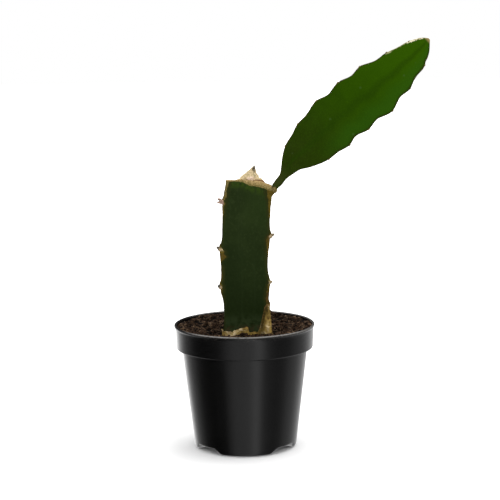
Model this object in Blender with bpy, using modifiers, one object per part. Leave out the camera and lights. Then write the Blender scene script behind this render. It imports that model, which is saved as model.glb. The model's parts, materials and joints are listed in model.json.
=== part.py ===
"""A dragon fruit cutting with one young branch, growing in a round nursery pot.

Metres, +Z up. The origin is the middle of the pot's foot, on the ground, and the
stem's broad front face looks along -Y. The pot and the soil are turned shapes, and
the plant is lofted through three-ribbed sections.
"""

import math
import random

import bmesh
import bpy
import numpy as np
from mathutils import Matrix

TOUCHING_GAP = 0.0003
MERGE_DISTANCE = 0.00002
TURNING_STEPS = 60

POT_HEIGHT = 0.1078
LIP_RADIUS = 0.0607
BAND_TOP_RADIUS = 0.0597
BAND_FOOT_RADIUS = 0.0591
BAND_FOOT_HEIGHT = 0.0887
SHOULDER_RADIUS = 0.0541
SHOULDER_HEIGHT = 0.0859
WALL_FOOT_RADIUS = 0.0438
FOOT_ROUNDING = 0.003
POT_WALL = 0.0012
POT_FLOOR = 0.0015

RECESS_TURNS = tuple(math.radians(turn) for turn in (38.5, 141.5, 218.5, 321.5))
RECESS_HEIGHT = 0.0055
RECESS_FOOT_HALF = 0.0180
RECESS_ROOF_HALF = 0.0092
RECESS_INNER_RADIUS = 0.028
RECESS_OUTER_RADIUS = 0.050
ROOF_HOLE_RADIUS = 0.0034
ROOF_HOLE_CIRCLE = 0.0355
FLOOR_HOLE_RADIUS = 0.0022
FLOOR_HOLE_CIRCLE = 0.016
FLOOR_HOLE_TURNS = tuple(math.radians(turn) for turn in (0, 90, 180, 270))

SOIL_WALL_HEIGHT = 0.1063
SOIL_STEM_HEIGHT = 0.1003
SOIL_DISH_START = 0.024
SOIL_RINGS = 13
SOIL_LUMP = 0.0009
SOIL_SEED = 7

STEM_AXIS_X = 0.002
STEM_BURIED_TO = 0.055
STEM_GROUND = 0.098
STEM_TOP = 0.2325
STEM_SHARES = np.linspace(0, 1, 29)
STEM_SHOULDER_START = 0.0
STEM_SHOULDER_END = 0.026
STEM_SHOULDER_DROP = 0.0085
STEM_TOP_FRONT = -0.0115
STEM_TOP_TILT = 0.15
RIB_ANGLES = tuple(math.radians(turn) for turn in (-150, -30, 90))
RIB_EDGE_HALF = 0.0019
FACE_DISTANCE = 0.0092
MARGIN_DEPTH = 0.0021

FOOT_SKIN_BOTTOM = 0.0965
FOOT_SKIN_BACK_TOP = 0.1030
FOOT_SKIN_THICKNESS = 0.0009
# Place across the front, and how high the flaky skin reaches there.
FOOT_SKIN_TOP = (
    (-0.0220, 0.1085), (-0.0175, 0.1050), (-0.0120, 0.1035), (-0.0050, 0.1060), (0.0015, 0.1088),
    (0.0045, 0.1030), (0.0120, 0.1025), (0.0165, 0.1065), (0.0205, 0.1150), (0.0235, 0.1200),
)

CORE_TIP = (0.0102, 0.0005, 0.2444)
# The tent round the woody core: its rings' middles across, half widths across and deep, and heights.
CORE_TENT = (
    (0.0069, 0.0073, 0.0056, 0.2358), (0.0075, 0.0053, 0.0042, 0.2374),
    (0.0080, 0.0032, 0.0030, 0.2395), (0.0090, 0.0016, 0.0016, 0.2423),
)

# The knuckle that the branch grows from: an ellipsoid on the right rib's direction.
KNUCKLE_REACH = 0.0296
KNUCKLE_HEIGHT = 0.2240
KNUCKLE_RADII = (0.0016, 0.0024, 0.0024)
BRANCH_ROOT = (0.0268, -0.0148, 0.22825)
BRANCH_RISE = math.radians(42.8)
BRANCH_LENGTH = 0.1802
BRANCH_SETBACK = 0.010
BRANCH_EDGE_HALF = 0.0009
WING_FORWARD = math.radians(9)
BACK_RIB = 0.0135

# Height, and how far the left rib's edge lies from the stem's axis line, seen from the front.
LEFT_MARGIN = (
    (0.098, 0.0207), (0.108, 0.0196), (0.122, 0.0191), (0.130, 0.0197), (0.138, 0.0218),
    (0.144, 0.0221), (0.150, 0.0213), (0.165, 0.0215), (0.173, 0.0220), (0.177, 0.0218),
    (0.183, 0.0202), (0.192, 0.0196), (0.203, 0.0192), (0.215, 0.0190), (0.222, 0.0179),
    (0.234, 0.0158),
)
RIGHT_MARGIN = (
    (0.098, 0.0213), (0.112, 0.0204), (0.122, 0.0196), (0.129, 0.0191), (0.140, 0.0200),
    (0.146, 0.0203), (0.156, 0.0188), (0.170, 0.0191), (0.182, 0.0208), (0.188, 0.0213),
    (0.195, 0.0208), (0.203, 0.0210), (0.212, 0.0217), (0.220, 0.0226), (0.234, 0.0240),
)
BACK_MARGIN = (
    (0.098, 0.0205), (0.110, 0.0197), (0.118, 0.0206), (0.128, 0.0199), (0.146, 0.0207),
    (0.157, 0.0218), (0.164, 0.0204), (0.182, 0.0203), (0.196, 0.0214), (0.203, 0.0200),
    (0.222, 0.0192), (0.234, 0.0180),
)
# Height of each areole, and how long its thorns are.
LEFT_AREOLES = ((0.1445, 0.0032), (0.1770, 0.0036), (0.2170, 0.0052))
RIGHT_AREOLES = ((0.1270, 0.0014), (0.1465, 0.0022), (0.1875, 0.0036))
BACK_AREOLES = ((0.1180, 0.0032), (0.1570, 0.0042), (0.1960, 0.0036))

# Distance along the branch, and how far its edge stands from the straight line from root to tip.
UPPER_EDGE = (
    (0.000, 0.0012), (0.005, 0.0032), (0.0115, 0.0048), (0.0155, 0.0080), (0.0215, 0.0130),
    (0.0310, 0.0190), (0.0400, 0.0216), (0.0510, 0.0252), (0.0610, 0.0256), (0.0755, 0.0284),
    (0.0865, 0.0256), (0.0990, 0.0271), (0.1120, 0.0235), (0.1215, 0.0240), (0.1350, 0.0187),
    (0.1460, 0.0170), (0.1540, 0.0143), (0.1660, 0.0107), (0.1730, 0.0075), (0.1770, 0.0050),
    (0.1802, 0.0010),
)
LOWER_EDGE = (
    (0.000, 0.0022), (0.0065, 0.0028), (0.0120, 0.0021), (0.0190, 0.0032), (0.0255, 0.0046),
    (0.0350, 0.0096), (0.0500, 0.0146), (0.0600, 0.0153), (0.0705, 0.0180), (0.0785, 0.0158),
    (0.0915, 0.0194), (0.1020, 0.0181), (0.1165, 0.0220), (0.1290, 0.0180), (0.1400, 0.0187),
    (0.1500, 0.0150), (0.1620, 0.0134), (0.1660, 0.0100), (0.1740, 0.0057), (0.1780, 0.0040),
    (0.1802, 0.0010),
)
UPPER_AREOLES = (0.0310, 0.0510, 0.0755, 0.0990, 0.1215, 0.1460, 0.1660)
LOWER_AREOLES = (0.0500, 0.0705, 0.0915, 0.1165, 0.1400, 0.1620)
BACK_RIB_AREOLES = (0.0400, 0.0630, 0.0870, 0.1100, 0.1320, 0.1530)


def clear_scene():
    for obj in list(bpy.data.objects):
        bpy.data.objects.remove(obj, do_unlink=True)


def new_collection(name, parent):
    collection = bpy.data.collections.new(name)
    parent.children.link(collection)
    return collection


def new_material(name, colour, roughness, metallic=0.0):
    material = bpy.data.materials.new(name)
    material.use_nodes = True
    shader = material.node_tree.nodes["Principled BSDF"]
    shader.inputs["Base Color"].default_value = (*colour, 1.0)
    shader.inputs["Roughness"].default_value = roughness
    shader.inputs["Metallic"].default_value = metallic
    return material


def add_object(name, mesh, collection, material=None):
    obj = bpy.data.objects.new(name, mesh)
    collection.objects.link(obj)
    if material:
        mesh.materials.append(material)
    return obj


def as_cutter(obj):
    obj.hide_render = True
    obj.display_type = "WIRE"
    return obj


def settled_mesh(obj):
    """The object's mesh with its modifiers applied, welded, its faces pointing out."""
    bpy.context.view_layer.update()
    evaluated = obj.evaluated_get(bpy.context.evaluated_depsgraph_get())
    mesh = bpy.data.meshes.new_from_object(evaluated)
    work = bmesh.new()
    work.from_mesh(mesh)
    bmesh.ops.remove_doubles(work, verts=work.verts, dist=MERGE_DISTANCE)
    bmesh.ops.recalc_face_normals(work, faces=work.faces)
    work.to_mesh(mesh)
    work.free()
    return mesh


def turned(name, profile, collection, material=None):
    """A solid turned round Z from (radius, height) points that run down its outer side."""
    mesh = bpy.data.meshes.new(name)
    points = [(radius, 0.0, height) for radius, height in profile]
    edges = [(k, k + 1) for k in range(len(points) - 1)]
    mesh.from_pydata(points, edges, [])
    obj = add_object(name, mesh, collection, material)
    screw = obj.modifiers.new("turn", "SCREW")
    screw.axis = "Z"
    screw.steps = TURNING_STEPS
    screw.render_steps = TURNING_STEPS
    screw.use_merge_vertices = True
    screw.merge_threshold = MERGE_DISTANCE
    return obj


def flat_prism(name, outline, thickness, collection):
    """A prism on an outline in its own XY plane, standing half its thickness each way."""
    curve = bpy.data.curves.new(name, "CURVE")
    curve.dimensions = "2D"
    curve.fill_mode = "BOTH"
    curve.extrude = thickness / 2
    spline = curve.splines.new("POLY")
    spline.points.add(len(outline) - 1)
    spline.points.foreach_set("co", [v for x, y in outline for v in (x, y, 0.0, 1.0)])
    spline.use_cyclic_u = True
    drawn = bpy.data.objects.new(name + "_outline", curve)
    collection.objects.link(drawn)
    solid = add_object(name, settled_mesh(drawn), collection)
    solid.matrix_world = drawn.matrix_world
    bpy.data.objects.remove(drawn)
    return solid


def cylinder(name, radius, bottom, top, place, collection):
    mesh = bpy.data.meshes.new(name)
    work = bmesh.new()
    bmesh.ops.create_cone(
        work, cap_ends=True, segments=16, radius1=radius, radius2=radius, depth=top - bottom
    )
    work.to_mesh(mesh)
    work.free()
    obj = add_object(name, mesh, collection)
    obj.location = (*place, (top + bottom) / 2)
    return obj


def cut(obj, cutters, name):
    """Subtracts every solid of a collection."""
    difference = obj.modifiers.new(name, "BOOLEAN")
    difference.operation = "DIFFERENCE"
    difference.solver = "EXACT"
    difference.operand_type = "COLLECTION"
    difference.collection = cutters


def fuse(obj, extras):
    """Joins every solid of a collection to the object, and removes the collection."""
    union = obj.modifiers.new("fuse", "BOOLEAN")
    union.operation = "UNION"
    union.solver = "EXACT"
    union.operand_type = "COLLECTION"
    union.collection = extras
    joined = settled_mesh(obj)
    obj.modifiers.remove(union)
    obj.data = joined
    for extra in list(extras.objects):
        bpy.data.objects.remove(extra, do_unlink=True)
    bpy.data.collections.remove(extras)


def between(points, at):
    """A smooth curve through (place, value) points: cubic pieces with slopes set at the points."""
    places, values = np.array(points, float).T
    slopes = np.gradient(values, places)
    at = np.clip(np.asarray(at, float), places[0], places[-1])
    k = np.clip(np.searchsorted(places, at, side="right") - 1, 0, len(places) - 2)
    width = places[k + 1] - places[k]
    t = (at - places[k]) / width
    start = (1 + 2 * t) * (1 - t) ** 2 * values[k] + t**2 * (3 - 2 * t) * values[k + 1]
    return start + width * (t * (1 - t) ** 2 * slopes[k] - t**2 * (1 - t) * slopes[k + 1])


def smooth_step(x, low, high):
    t = np.clip((np.asarray(x, float) - low) / (high - low), 0, 1)
    return t * t * (3 - 2 * t)


def direction(angle):
    return np.array([math.cos(angle), math.sin(angle)])


def bend(start, control, end, steps):
    """Points of a parabola from start to end, both ends left out. The inputs are (levels, 2)."""
    t = np.linspace(0, 1, steps + 2)[1:-1, None, None]
    points = (1 - t) ** 2 * start + 2 * t * (1 - t) * control + t**2 * end
    return np.moveaxis(points, 0, 1)


def ribbed_sections(angles, reaches, edge_half, valleys, rounding=0.0, edge_points=2, face_points=3):
    """Three-ribbed sections, one for each level, as an array (levels, points, 2).

    A rib ends in an edge of half width edge_half at its reach, with corners set back by the
    rounding. Each face dips from one rib's corner to its valley and rises to the next rib.
    """
    reaches = [np.atleast_1d(reach)[:, None] for reach in reaches]
    valleys = [np.atleast_1d(valley)[:, None] for valley in valleys]
    half = np.atleast_1d(edge_half)[:, None]
    rows = []
    for k, angle in enumerate(angles):
        following = (k + 1) % len(angles)
        turn = (angles[following] - angle) % (2 * math.pi)
        out, side = direction(angle), direction(angle + math.pi / 2)
        for w in np.linspace(-1, 1, edge_points):
            edge = (reaches[k] - rounding * w * w) * out + w * half * side
            rows.append(edge[:, None])
        next_out = direction(angles[following])
        next_side = direction(angles[following] + math.pi / 2)
        corner = (reaches[k] - rounding) * out + half * side
        next_corner = (reaches[following] - rounding) * next_out - half * next_side
        middle, along = direction(angle + turn / 2), direction(angle + turn / 2 + math.pi / 2)
        valley = valleys[k] * middle
        lead = 0.5 * np.linalg.norm(valley - corner, axis=1, keepdims=True)
        next_lead = 0.5 * np.linalg.norm(valley - next_corner, axis=1, keepdims=True)
        rows.append(bend(corner, valley - lead * along, valley, face_points))
        rows.append(valley[:, None])
        rows.append(bend(valley, valley + next_lead * along, next_corner, face_points))
    return np.concatenate(rows, axis=1)


def loft(name, rings, collection, material=None, start=None, end=None, ring_shaped=False):
    """A closed solid through rings of points. Each end is a fan to a point, or one flat face."""
    rings = np.asarray(rings, float)
    levels, count = rings.shape[:2]
    work = bmesh.new()
    rows = [[work.verts.new(point) for point in ring] for ring in rings]
    pairs = list(zip(rows, rows[1:]))
    if ring_shaped:
        pairs.append((rows[-1], rows[0]))
    for lower, upper in pairs:
        for k in range(count):
            following = (k + 1) % count
            work.faces.new((lower[k], lower[following], upper[following], upper[k]))
    if not ring_shaped:
        for row, tip in ((rows[0], start), (rows[-1], end)):
            if tip is None:
                work.faces.new(row)
                continue
            point = work.verts.new(tip)
            for k in range(count):
                work.faces.new((row[k], row[(k + 1) % count], point))
    bmesh.ops.recalc_face_normals(work, faces=work.faces)
    mesh = bpy.data.meshes.new(name)
    work.to_mesh(mesh)
    work.free()
    return add_object(name, mesh, collection, material)


def pot_outer_profile():
    foot = WALL_FOOT_RADIUS
    rounding = [
        (foot - FOOT_ROUNDING * (1 - math.cos(turn)), FOOT_ROUNDING * (1 - math.sin(turn)))
        for turn in (0, math.pi / 6, math.pi / 3, math.pi / 2)
    ]
    return [
        (0.0, POT_HEIGHT),
        (LIP_RADIUS - 0.0014, POT_HEIGHT),
        (LIP_RADIUS - 0.0004, POT_HEIGHT - 0.0004),
        (LIP_RADIUS, POT_HEIGHT - 0.0013),
        (LIP_RADIUS - 0.0002, POT_HEIGHT - 0.0023),
        (BAND_TOP_RADIUS, POT_HEIGHT - 0.0030),
        (BAND_FOOT_RADIUS, BAND_FOOT_HEIGHT),
        (BAND_FOOT_RADIUS - 0.0005, BAND_FOOT_HEIGHT - 0.0009),
        (BAND_FOOT_RADIUS - 0.0022, BAND_FOOT_HEIGHT - 0.0017),
        (SHOULDER_RADIUS + 0.0008, BAND_FOOT_HEIGHT - 0.0021),
        (SHOULDER_RADIUS, SHOULDER_HEIGHT),
        *rounding,
        (0.0, 0.0),
    ]


def cavity_profile(clearance, top, rings=()):
    """The pot's inside, shrunk by the clearance, from the given top points down to the floor."""
    inset = POT_WALL + clearance
    wall_slope = (SHOULDER_RADIUS - WALL_FOOT_RADIUS) / (SHOULDER_HEIGHT - FOOT_ROUNDING)
    floor = POT_FLOOR + clearance
    foot_rise = 0.0022
    band_top = BAND_TOP_RADIUS - inset
    band_foot = BAND_FOOT_RADIUS - inset
    band_slope = (band_top - band_foot) / (POT_HEIGHT - BAND_FOOT_HEIGHT)
    step = BAND_FOOT_HEIGHT + clearance
    foot_radius = WALL_FOOT_RADIUS - inset + wall_slope * (floor + foot_rise)
    return [
        *rings,
        (band_foot + band_slope * (top - BAND_FOOT_HEIGHT), top),
        (band_foot, step + 0.0008),
        (band_foot - 0.0004, step + 0.0001),
        (band_foot - 0.0017, step - 0.0005),
        (SHOULDER_RADIUS - inset + 0.0010, step - 0.0009),
        (SHOULDER_RADIUS - inset + 0.0002, step - 0.0018),
        (SHOULDER_RADIUS - inset, SHOULDER_HEIGHT),
        (foot_radius, floor + foot_rise),
        (foot_radius - foot_rise * 0.9, floor),
        (0.0, floor),
    ]


def recess_outline(grow):
    """Half a smooth arch, mirrored: it rises from the ground in an S to a flat roof."""
    rises = [(1 - math.cos(math.pi * f / 6)) / 2 for f in range(7)]
    run = RECESS_FOOT_HALF - RECESS_ROOF_HALF
    half = [(RECESS_FOOT_HALF + grow, -0.002)]
    half += [
        (RECESS_FOOT_HALF + grow - run * f / 6, RECESS_HEIGHT * rise + grow)
        for f, rise in enumerate(rises)
    ]
    return half + [(-x, y) for x, y in reversed(half)]


def recess_prisms(name, grow, cutters):
    """The four recesses round the foot, grown on every side but the outer one."""
    collection = new_collection(name, cutters)
    inner = RECESS_INNER_RADIUS - grow
    for k, turn in enumerate(RECESS_TURNS):
        prism = flat_prism(
            f"{name}_{k + 1}", recess_outline(grow), RECESS_OUTER_RADIUS - inner, collection
        )
        upright = Matrix(((0, 0, 1, 0), (1, 0, 0, 0), (0, 1, 0, 0), (0, 0, 0, 1)))
        middle = Matrix.Translation(((RECESS_OUTER_RADIUS + inner) / 2, 0, 0))
        prism.matrix_world = Matrix.Rotation(turn, 4, "Z") @ middle @ upright
        as_cutter(prism)
    return collection


def drain_holes(cutters):
    collection = new_collection("drain_hole_cutters", cutters)
    for k, (turn, floor_turn) in enumerate(zip(RECESS_TURNS, FLOOR_HOLE_TURNS)):
        floor_place = FLOOR_HOLE_CIRCLE * direction(floor_turn)
        roof_place = ROOF_HOLE_CIRCLE * direction(turn)
        for name, radius, top, place in (
            (f"floor_hole_{k + 1}", FLOOR_HOLE_RADIUS, POT_FLOOR + 0.001, floor_place),
            (f"roof_hole_{k + 1}", ROOF_HOLE_RADIUS, RECESS_HEIGHT + 0.003, roof_place),
        ):
            as_cutter(cylinder(name, radius, -0.001, top, place, collection))
    return collection


def make_pot(parts, cutters, material):
    pot = turned("pot", pot_outer_profile(), parts, material)
    hollow = new_collection("pot_hollow_cutters", cutters)
    above = POT_HEIGHT + 0.004
    inside = as_cutter(turned("pot_inside", cavity_profile(0.0, above, [(0.0, above)]), hollow))
    cut(inside, recess_prisms("recess_shell_cutters", POT_WALL, cutters), "recess shells")
    cut(pot, hollow, "inside")
    cut(pot, recess_prisms("recess_cutters", 0.0, cutters), "recesses")
    cut(pot, drain_holes(cutters), "drain holes")
    return pot


def soil_lumps(x, y):
    """Seeded waves of 5 to 14 mm in all directions, added up."""
    draw = random.Random(SOIL_SEED)
    height = np.zeros_like(x)
    for _ in range(12):
        turn, length, phase = draw.uniform(0, math.pi), draw.uniform(0.005, 0.014), draw.uniform(0, 6.3)
        across = x * math.cos(turn) + y * math.sin(turn)
        height += np.sin(2 * math.pi * across / length + phase)
    crumbs = np.random.default_rng(SOIL_SEED).uniform(-1, 1, len(x))
    return SOIL_LUMP * (height / 3.5 + 0.7 * crumbs)


def make_soil(parts, cutters, material):
    edge = BAND_FOOT_RADIUS - POT_WALL - 0.001
    radii = np.linspace(0, edge, SOIL_RINGS)
    rise = smooth_step(radii, SOIL_DISH_START, edge)
    heights = SOIL_STEM_HEIGHT + (SOIL_WALL_HEIGHT - SOIL_STEM_HEIGHT) * rise
    rings = [(float(r), float(z)) for r, z in zip(radii, heights)]
    blank = turned("soil_blank", cavity_profile(TOUCHING_GAP, SOIL_WALL_HEIGHT, rings), parts)
    mesh = settled_mesh(blank)
    bpy.data.objects.remove(blank)
    points = np.empty(len(mesh.vertices) * 3)
    mesh.vertices.foreach_get("co", points)
    points = points.reshape(-1, 3)
    top = points[:, 2] > SOIL_STEM_HEIGHT - 0.001
    hollow = np.exp(-(((points[:, 0] + 0.029) / 0.008) ** 2) - ((points[:, 1] + 0.012) / 0.009) ** 2)
    lumps = soil_lumps(points[:, 0], points[:, 1]) - 0.0022 * hollow
    points[:, 2] += np.where(top, lumps, 0)
    mesh.vertices.foreach_set("co", points.ravel())
    soil = add_object("soil", mesh, parts, material)
    cut(soil, recess_prisms("soil_recess_cutters", POT_WALL + TOUCHING_GAP, cutters), "recesses")
    cut(soil, stem_hole(cutters), "stem hole")
    return soil


def margin_reaches(heights):
    """How far each rib's edge stands from the stem's axis at each height."""
    sideways = math.cos(RIB_ANGLES[1])
    left = between(LEFT_MARGIN, heights) / sideways
    right = between(RIGHT_MARGIN, heights) / sideways
    back = between(BACK_MARGIN, heights) / sideways
    return left, right, back


def margin_depths(heights):
    """How much of each rib's edge is corky. The right one widens below the branch."""
    plain = np.full_like(np.asarray(heights, float), MARGIN_DEPTH)
    return plain, plain + 0.0042 * smooth_step(heights, 0.210, 0.228), plain


def stem_sections(heights, grow=0.0, full=False, edge_points=2):
    """Sections of the stem: of the green flesh, or in full with its rounded corky edges."""
    reaches = margin_reaches(heights)
    if not full:
        reaches = [reach - depth for reach, depth in zip(reaches, margin_depths(heights))]
    half = np.full(len(heights), RIB_EDGE_HALF + grow)
    valley = np.full(len(heights), FACE_DISTANCE + grow)
    return ribbed_sections(
        RIB_ANGLES,
        [reach + grow for reach in reaches],
        half,
        [valley] * 3,
        rounding=0.0013 if full else 0.0,
        edge_points=edge_points,
    )


def cut_end(x, y):
    """Height of the cut end: level on the left, falling to the right shoulder and to the back."""
    shoulder = STEM_SHOULDER_DROP * smooth_step(x, STEM_SHOULDER_START, STEM_SHOULDER_END) ** 0.8
    return STEM_TOP - shoulder - STEM_TOP_TILT * (np.asarray(y) - STEM_TOP_FRONT)


def raised(sections, heights):
    """Puts sections at heights round the stem's axis, as points (levels, count, 3)."""
    levels = np.broadcast_to(np.asarray(heights, float)[:, None], sections.shape[:2])
    return np.dstack([sections[..., 0] + STEM_AXIS_X, sections[..., 1], levels])


def sloped_rings(bottom, tops, shares, **how):
    """Rings of points that each lie a share of the way from the bottom to their own top."""
    heights = np.linspace(bottom, tops.max(), 48)
    level = stem_sections(heights, **how)
    rings = []
    for share in shares:
        at = bottom + share * (tops - bottom)
        x = [np.interp(height, heights, level[:, k, 0]) for k, height in enumerate(at)]
        y = [np.interp(height, heights, level[:, k, 1]) for k, height in enumerate(at)]
        rings.append(np.column_stack([np.array(x) + STEM_AXIS_X, y, at]))
    return np.array(rings)


def drawn_in(ring, scale):
    """The ring shrunk towards the stem's axis."""
    smaller = ring.copy()
    smaller[..., 0] = (ring[..., 0] - STEM_AXIS_X) * scale + STEM_AXIS_X
    smaller[..., 1] *= scale
    return smaller


def make_stem(parts, material):
    outline = stem_sections(np.array([STEM_TOP]))[0]
    tops = cut_end(outline[:, 0] + STEM_AXIS_X, outline[:, 1])
    rings = sloped_rings(STEM_GROUND, tops, STEM_SHARES)
    buried = np.repeat(rings[:1], 2, axis=0)
    buried[0] = drawn_in(buried[0], 0.72)
    buried[0, :, 2] = STEM_BURIED_TO
    buried[1, :, 2] = STEM_BURIED_TO + 0.004
    across_end = [drawn_in(rings[-1], scale) for scale in (0.66, 0.33)]
    for ring in across_end:
        ring[:, 2] = cut_end(ring[:, 0], ring[:, 1])
    rings = np.concatenate([buried, rings, across_end])
    bottom = (STEM_AXIS_X, 0, STEM_BURIED_TO)
    top = (STEM_AXIS_X, 0, float(cut_end(STEM_AXIS_X, 0)))
    return loft("main_stem", rings, parts, material, start=bottom, end=top)


def make_foot_skin(parts, material):
    outline = stem_sections(np.array([SOIL_STEM_HEIGHT]), FOOT_SKIN_THICKNESS / 2, True, 5)[0]
    across = outline[:, 0] + STEM_AXIS_X
    front = np.interp(across, *np.array(FOOT_SKIN_TOP).T)
    back = FOOT_SKIN_BACK_TOP + 0.0012 * np.sin(across * 400)
    tops = np.where(outline[:, 1] < -0.004, front, back)
    shares = (0.0, 0.35, 0.7, 0.95)
    half_skin = FOOT_SKIN_THICKNESS / 2
    outer = sloped_rings(FOOT_SKIN_BOTTOM, tops, shares, grow=half_skin, full=True, edge_points=5)
    seat = TOUCHING_GAP + 0.0001
    inner = sloped_rings(FOOT_SKIN_BOTTOM, tops, (*shares, 1.0), grow=seat, edge_points=5)
    rings = np.concatenate([outer, inner[::-1]])
    return loft("corky_foot", rings, parts, material, ring_shaped=True)


def stem_hole(cutters):
    """The plain hole for the buried stem, wider where the foot skin goes in."""
    collection = new_collection("stem_hole_cutters", cutters)
    deep = np.array([STEM_BURIED_TO - TOUCHING_GAP, FOOT_SKIN_BOTTOM - 0.0006])
    wide = np.array([FOOT_SKIN_BOTTOM - 0.0006, SOIL_WALL_HEIGHT + 0.006])
    narrow = raised(stem_sections(np.full(2, STEM_GROUND), 0.0004, False, 5), deep)
    skirt = FOOT_SKIN_THICKNESS / 2 + 0.0004
    broad = raised(stem_sections(np.full(2, STEM_GROUND), skirt, True, 5), wide)
    hole = loft("stem_hole", np.concatenate([narrow, broad]), collection)
    as_cutter(hole)
    return collection


def spine(name, place, aim, length, radius, collection):
    """A slim five-sided thorn whose root is sunk behind its place."""
    mesh = bpy.data.meshes.new(name)
    work = bmesh.new()
    bmesh.ops.create_cone(
        work, cap_ends=True, segments=5, radius1=radius, radius2=radius * 0.2, depth=length
    )
    work.to_mesh(mesh)
    work.free()
    obj = add_object(name, mesh, collection)
    aim = np.asarray(aim, float) / np.linalg.norm(aim)
    across = np.cross(aim, (0.13, 0.97, 0.21))
    across /= np.linalg.norm(across)
    above = np.cross(aim, across)
    middle = np.asarray(place, float) + aim * (length / 2 - radius * 1.5)
    obj.matrix_world = Matrix(
        [(*row, middle[k]) for k, row in enumerate(np.column_stack([across, above, aim]))]
        + [(0, 0, 0, 1)]
    )
    return obj


def branch_knuckle(collection):
    """The corky knuckle beside the callus, on which the branch's root sits."""
    mesh = bpy.data.meshes.new("knuckle")
    work = bmesh.new()
    bmesh.ops.create_uvsphere(work, u_segments=14, v_segments=9, radius=1.0)
    work.to_mesh(mesh)
    work.free()
    obj = add_object("knuckle", mesh, collection)
    middle = KNUCKLE_REACH * direction(RIB_ANGLES[1]) + (STEM_AXIS_X, 0)
    turned_to_rib = Matrix.Rotation(RIB_ANGLES[1], 4, "Z") @ Matrix.Diagonal((*KNUCKLE_RADII, 1))
    obj.matrix_world = Matrix.Translation((*middle, KNUCKLE_HEIGHT)) @ turned_to_rib


def make_margin(name, rib, bottom, top_gap, areoles, parts, material):
    """One rib's corky edge: a rounded bead behind a flat seat, with a cushion at each areole."""
    edge_x, edge_y = 0.0205 * direction(RIB_ANGLES[rib]) + (STEM_AXIS_X, 0)
    stem_levels = STEM_GROUND + STEM_SHARES * (float(cut_end(edge_x, edge_y)) - STEM_GROUND)
    top = stem_levels[-1] - top_gap
    above = stem_levels[(stem_levels > bottom + 0.001) & (stem_levels < top - 0.001)]
    places = [height for height, _ in areoles]
    levels = np.unique(np.concatenate([[bottom, top], above, places]))
    reach = margin_reaches(levels)[rib]
    stem_edge = margin_reaches(stem_levels)[rib] - margin_depths(stem_levels)[rib]
    seat = np.interp(levels, stem_levels, stem_edge) + TOUCHING_GAP
    cushion = sum(np.exp(-(((levels - height) / 0.0022) ** 2)) for height in places)
    knuckle = 0.0034 * smooth_step(levels, 0.2190, 0.2250) if rib == 1 else 0.0
    reach = reach + 0.0009 * cushion + knuckle
    half = RIB_EDGE_HALF + 0.0002 + 0.0005 * cushion + 0.2 * knuckle
    out, side = direction(RIB_ANGLES[rib]), direction(RIB_ANGLES[rib] + math.pi / 2)
    front = [(0.0013, 1.0), (0.0004, 0.62), (0.0, 0.0), (0.0004, -0.62), (0.0013, -1.0)]
    columns = [seat[:, None] * out - half[:, None] * side, seat[:, None] * out + half[:, None] * side]
    for back, w in front:
        columns.append((reach - back)[:, None] * out + (w * half)[:, None] * side)
    rings = raised(np.stack(columns, axis=1), levels)
    margin = loft(name, rings, parts, material)
    extras = new_collection(name + "_extras", parts)
    draw = random.Random(name)
    for number, (height, length) in enumerate(areoles):
        at = float(np.interp(height, levels, reach))
        for k, lift in enumerate((0.55, -0.05)):
            aim = (*(out + side * draw.uniform(-0.5, 0.5)), lift + draw.uniform(-0.1, 0.15))
            place = (*(out * (at - 0.0006) + (STEM_AXIS_X, 0)), height + 0.0012 * (0.5 - k))
            spine(f"{name}_thorn_{number}_{k}", place, aim, length, 0.0006, extras)
    if rib == 1:
        branch_knuckle(extras)
    fuse(margin, extras)
    return margin


def make_callus(parts, material):
    """The dried cut end: a rim on the section's outline, drawn up in a tent round the woody core."""
    outline = raised(stem_sections(np.full(1, STEM_TOP), 0.0, True, 5), [STEM_TOP])[0]
    turns = np.arctan2(outline[:, 1], outline[:, 0] - STEM_AXIS_X)
    circle = np.column_stack([np.cos(turns), np.sin(turns)])

    def lying(flat, above):
        return np.column_stack([flat[:, :2], cut_end(flat[:, 0], flat[:, 1]) + above])

    across = outline[:, 0]
    rim_height = 0.0016 + 0.0046 * smooth_step(across, 0, 0.018) - 0.0034 * smooth_step(across, 0.018, 0.0255)
    rows = [lying(drawn_in(outline, scale), 0.0005) for scale in (0.33, 0.66, 1.0)]
    rows.append(lying(drawn_in(outline, 0.985), rim_height))
    rows.append(lying(drawn_in(outline, 0.80), rim_height * 0.7 + 0.0003))
    tent_foot = drawn_in(outline, 0.6) + (0.0015, 0, 0)
    rows.append(lying(tent_foot, 0.0026 + 0.0042 * smooth_step(tent_foot[:, 0], 0.004, 0.014)))
    for middle, half_across, half_deep, height in CORE_TENT:
        flat = (middle, CORE_TIP[1]) + circle * (half_across, half_deep)
        rows.append(np.column_stack([flat, np.full(len(flat), height)]))
    bottom = (STEM_AXIS_X, 0, float(cut_end(STEM_AXIS_X, 0)) + 0.0005)
    return loft("cut_callus", np.array(rows), parts, material, start=bottom, end=CORE_TIP)


def branch_frame():
    along = np.array([math.cos(BRANCH_RISE), 0.0, math.sin(BRANCH_RISE)])
    across = np.array([-math.sin(BRANCH_RISE), 0.0, math.cos(BRANCH_RISE)])
    return along, across, np.array([0.0, 1.0, 0.0])


def branch_shape(stations):
    """The middle line's place across and back, and the reach of the two wings and the back rib."""
    upper, lower = between(UPPER_EDGE, stations), between(LOWER_EDGE, stations)
    share = stations / BRANCH_LENGTH
    middle = (upper - lower) / 2
    backwards = BRANCH_SETBACK * share**1.5 + 0.004 * np.sin(math.pi * share)
    swell = np.sin(math.pi * np.clip(share, 0, 1) ** 0.7) ** 0.6
    crenation = sum(np.exp(-(((stations - s) / 0.005) ** 2)) for s in BACK_RIB_AREOLES)
    back = 0.0018 + BACK_RIB * swell + 0.0012 * crenation * swell
    half_width = (upper + lower) / 2
    return middle, backwards, half_width, np.minimum(back, half_width + 0.001)


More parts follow.
